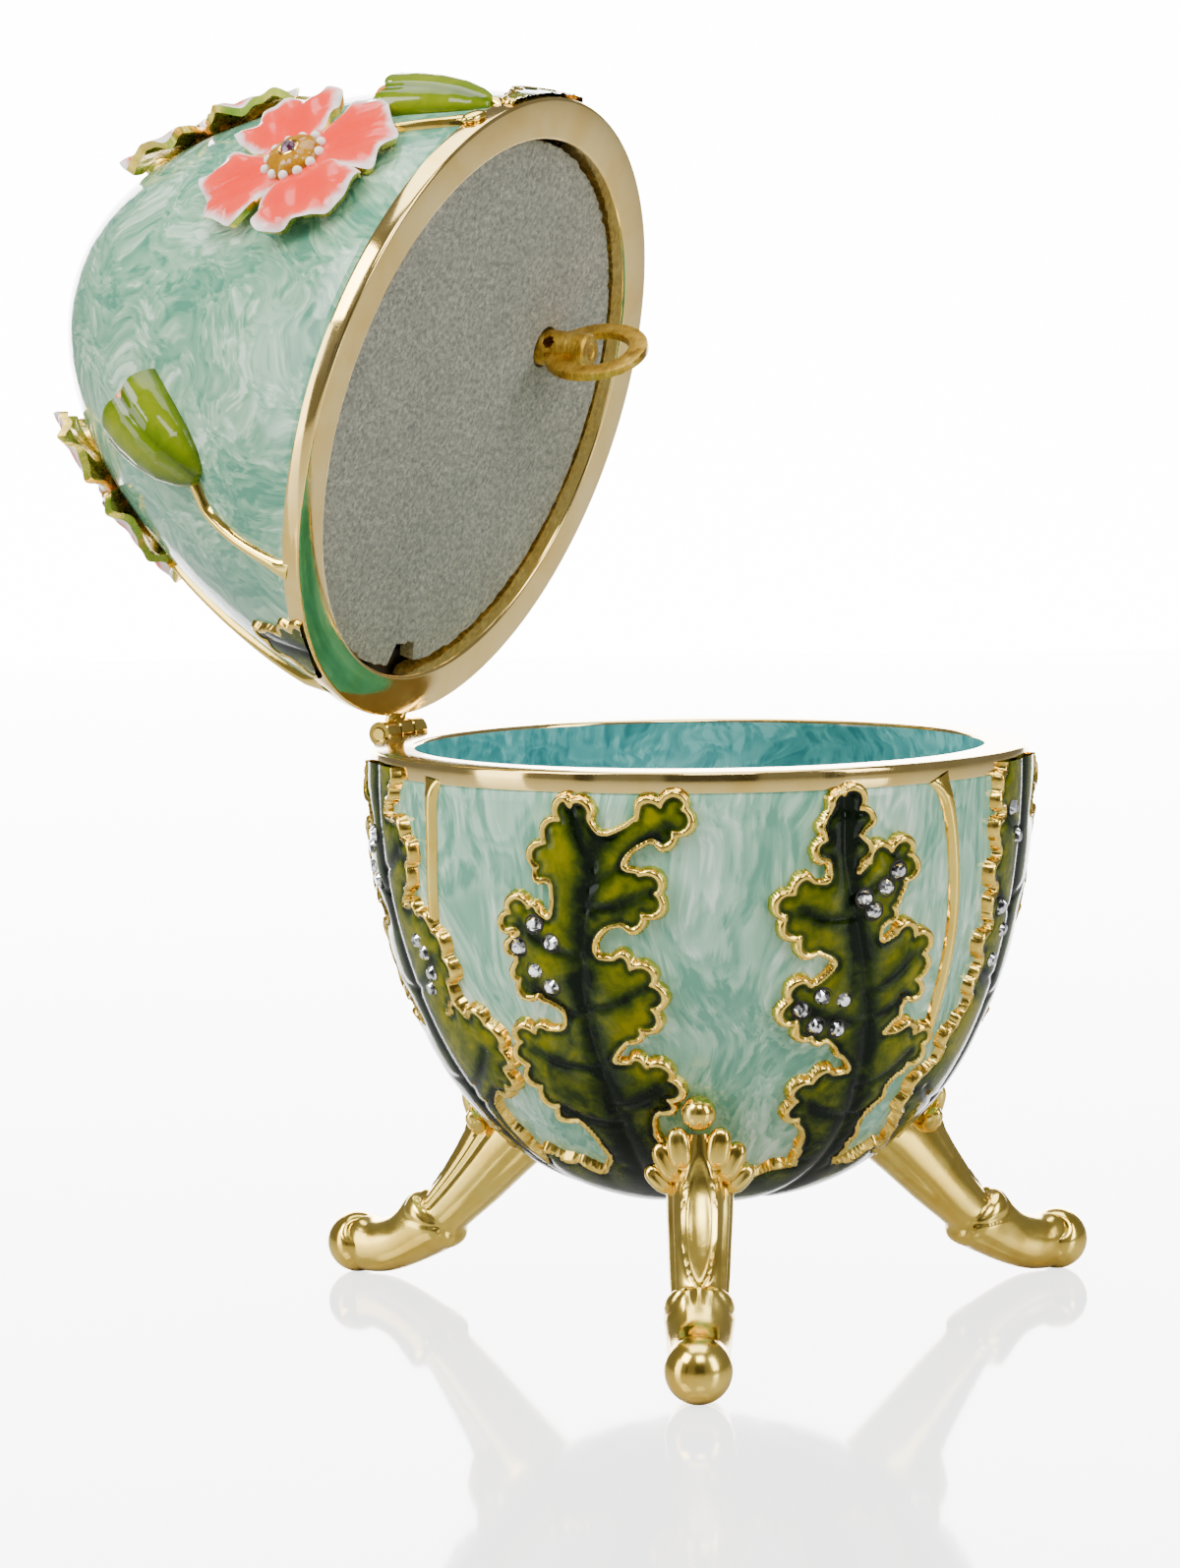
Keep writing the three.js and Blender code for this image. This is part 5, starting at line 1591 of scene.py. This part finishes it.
def makeFloor():
    bm = bmesh.new()
    bmesh.ops.create_grid(bm, x_segments=1, y_segments=1, size=studio["floor"] / 2)
    mesh = bpy.data.meshes.new("floor")
    bm.to_mesh(mesh)
    bm.free()
    n = Nodes("floor")
    seen = n.add("ShaderNodeLightPath").outputs["Is Camera Ray"]
    n.feed(n.shader.inputs["Emission Color"], (1, 1, 1, 1))
    n.feed(n.shader.inputs["Emission Strength"], n.math("MULTIPLY", seen, studio["floorGlow"]))
    mesh.materials.append(n.finish(colour=studio["floorColour"], roughness=0.06, ior=1.6))
    floor = bpy.data.objects.new("floor", mesh)
    bpy.context.scene.collection.objects.link(floor)


def makeCard(name, centre, target, size, colour):
    bm = bmesh.new()
    bmesh.ops.create_grid(bm, x_segments=1, y_segments=1, size=0.5, matrix=Matrix.Diagonal((*size, 1, 1)))
    mesh = bpy.data.meshes.new(name)
    bm.to_mesh(mesh)
    bm.free()
    n = Nodes(name)
    mesh.materials.append(n.finish(colour=colour, roughness=0.9))
    card = bpy.data.objects.new(name, mesh)
    card.location = centre
    card.rotation_euler = (Vector(target) - Vector(centre)).to_track_quat("Z", "Y").to_euler()
    bpy.context.scene.collection.objects.link(card)
    return card


# A dark card that shows only in reflections, so that it can't hide the box from a far camera.
def makeDarkCard(name, centre, target, size):
    card = makeCard(name, centre, target, size, (0.02, 0.02, 0.02))
    card.visible_camera = False


# A glowing white card close behind the box.
def makeBackdrop(centre, target, size):
    makeCard("backdrop", centre, target, size, (0.9, 0.9, 0.9))
    shader = bpy.data.materials["backdrop"].node_tree.nodes["Principled BSDF"]
    shader.inputs["Emission Color"].default_value = (1, 1, 1, 1)
    shader.inputs["Emission Strength"].default_value = studio["backdrop"]


def makeLight(name, centre, target, size, power, colour=(1, 1, 1)):
    data = bpy.data.lights.new(name, "AREA")
    data.shape = "RECTANGLE"
    data.size, data.size_y = size
    data.energy = power
    data.color = colour
    light = bpy.data.objects.new(name, data)
    light.location = centre
    light.rotation_euler = (Vector(target) - Vector(centre)).to_track_quat("-Z", "Y").to_euler()
    bpy.context.scene.collection.objects.link(light)


def makeCamera():
    look = studio["camera"]
    heading, pitch = math.radians(look["heading"]), math.radians(look["pitch"])
    angle = math.radians(look["angle"])
    forward = Vector(
        (math.cos(heading) * math.cos(pitch), math.sin(heading) * math.cos(pitch), -math.sin(pitch))
    )
    right = Vector((math.sin(heading), -math.cos(heading), 0))
    up = right.cross(forward)
    roll = math.radians(look["roll"])
    right, up = right * math.cos(roll) + up * math.sin(roll), up * math.cos(roll) - right * math.sin(roll)
    data = bpy.data.cameras.new("camera")
    data.lens = look["lens"]
    data.sensor_width = 36
    camera = bpy.data.objects.new("camera", data)
    place = Matrix((right, up, -forward)).transposed().to_4x4()
    away = look["distance"]
    stand = Vector((away * math.cos(angle), away * math.sin(angle), look["height"]))
    place.translation = (axisAt + stand) * mm
    camera.matrix_world = place
    bpy.context.scene.collection.objects.link(camera)
    bpy.context.scene.camera = camera
    return right, forward


def makeStudio():
    makeFloor()
    right, forward = makeCamera()
    middle = Vector((0, 0, 0.06))
    spot = lambda x, y, z: middle + right * x - forward * y + Vector((0, 0, z))
    makeBackdrop(spot(0, -1.0, 0.2), spot(0, 0, 0.2), (1.0, 0.8))
    makeLight("key_light", spot(-0.75, 0.45, 0.75), middle, (0.5, 0.5), 13)
    makeLight("fill_light", spot(0.8, 0.5, 0.35), middle, (0.3, 0.7), 6)
    makeLight("top_light", spot(0.0, -0.1, 1.0), middle, (0.8, 0.8), 11)
    makeLight("front_light", spot(0.12, 0.85, 0.85), middle, (0.45, 0.35), 6)
    makeLight("left_light", spot(-0.95, 0.3, 0.1), middle, (0.35, 0.8), 5)
    makeDarkCard("dark_card_front", spot(0.05, 0.75, 0.02), middle, (0.42, 0.5))
    makeDarkCard("dark_card_left", spot(-0.5, 0.62, 0.02), middle, (0.10, 0.5))
    makeDarkCard("dark_card_right", spot(0.55, 0.55, 0.02), middle, (0.10, 0.5))
    world = bpy.data.worlds.new("studio")
    world.use_nodes = True
    background = world.node_tree.nodes["Background"]
    background.inputs["Color"].default_value = studio["world"]
    background.inputs["Strength"].default_value = studio["worldStrength"]
    bpy.context.scene.world = world


makeStudio()
print("studio set")
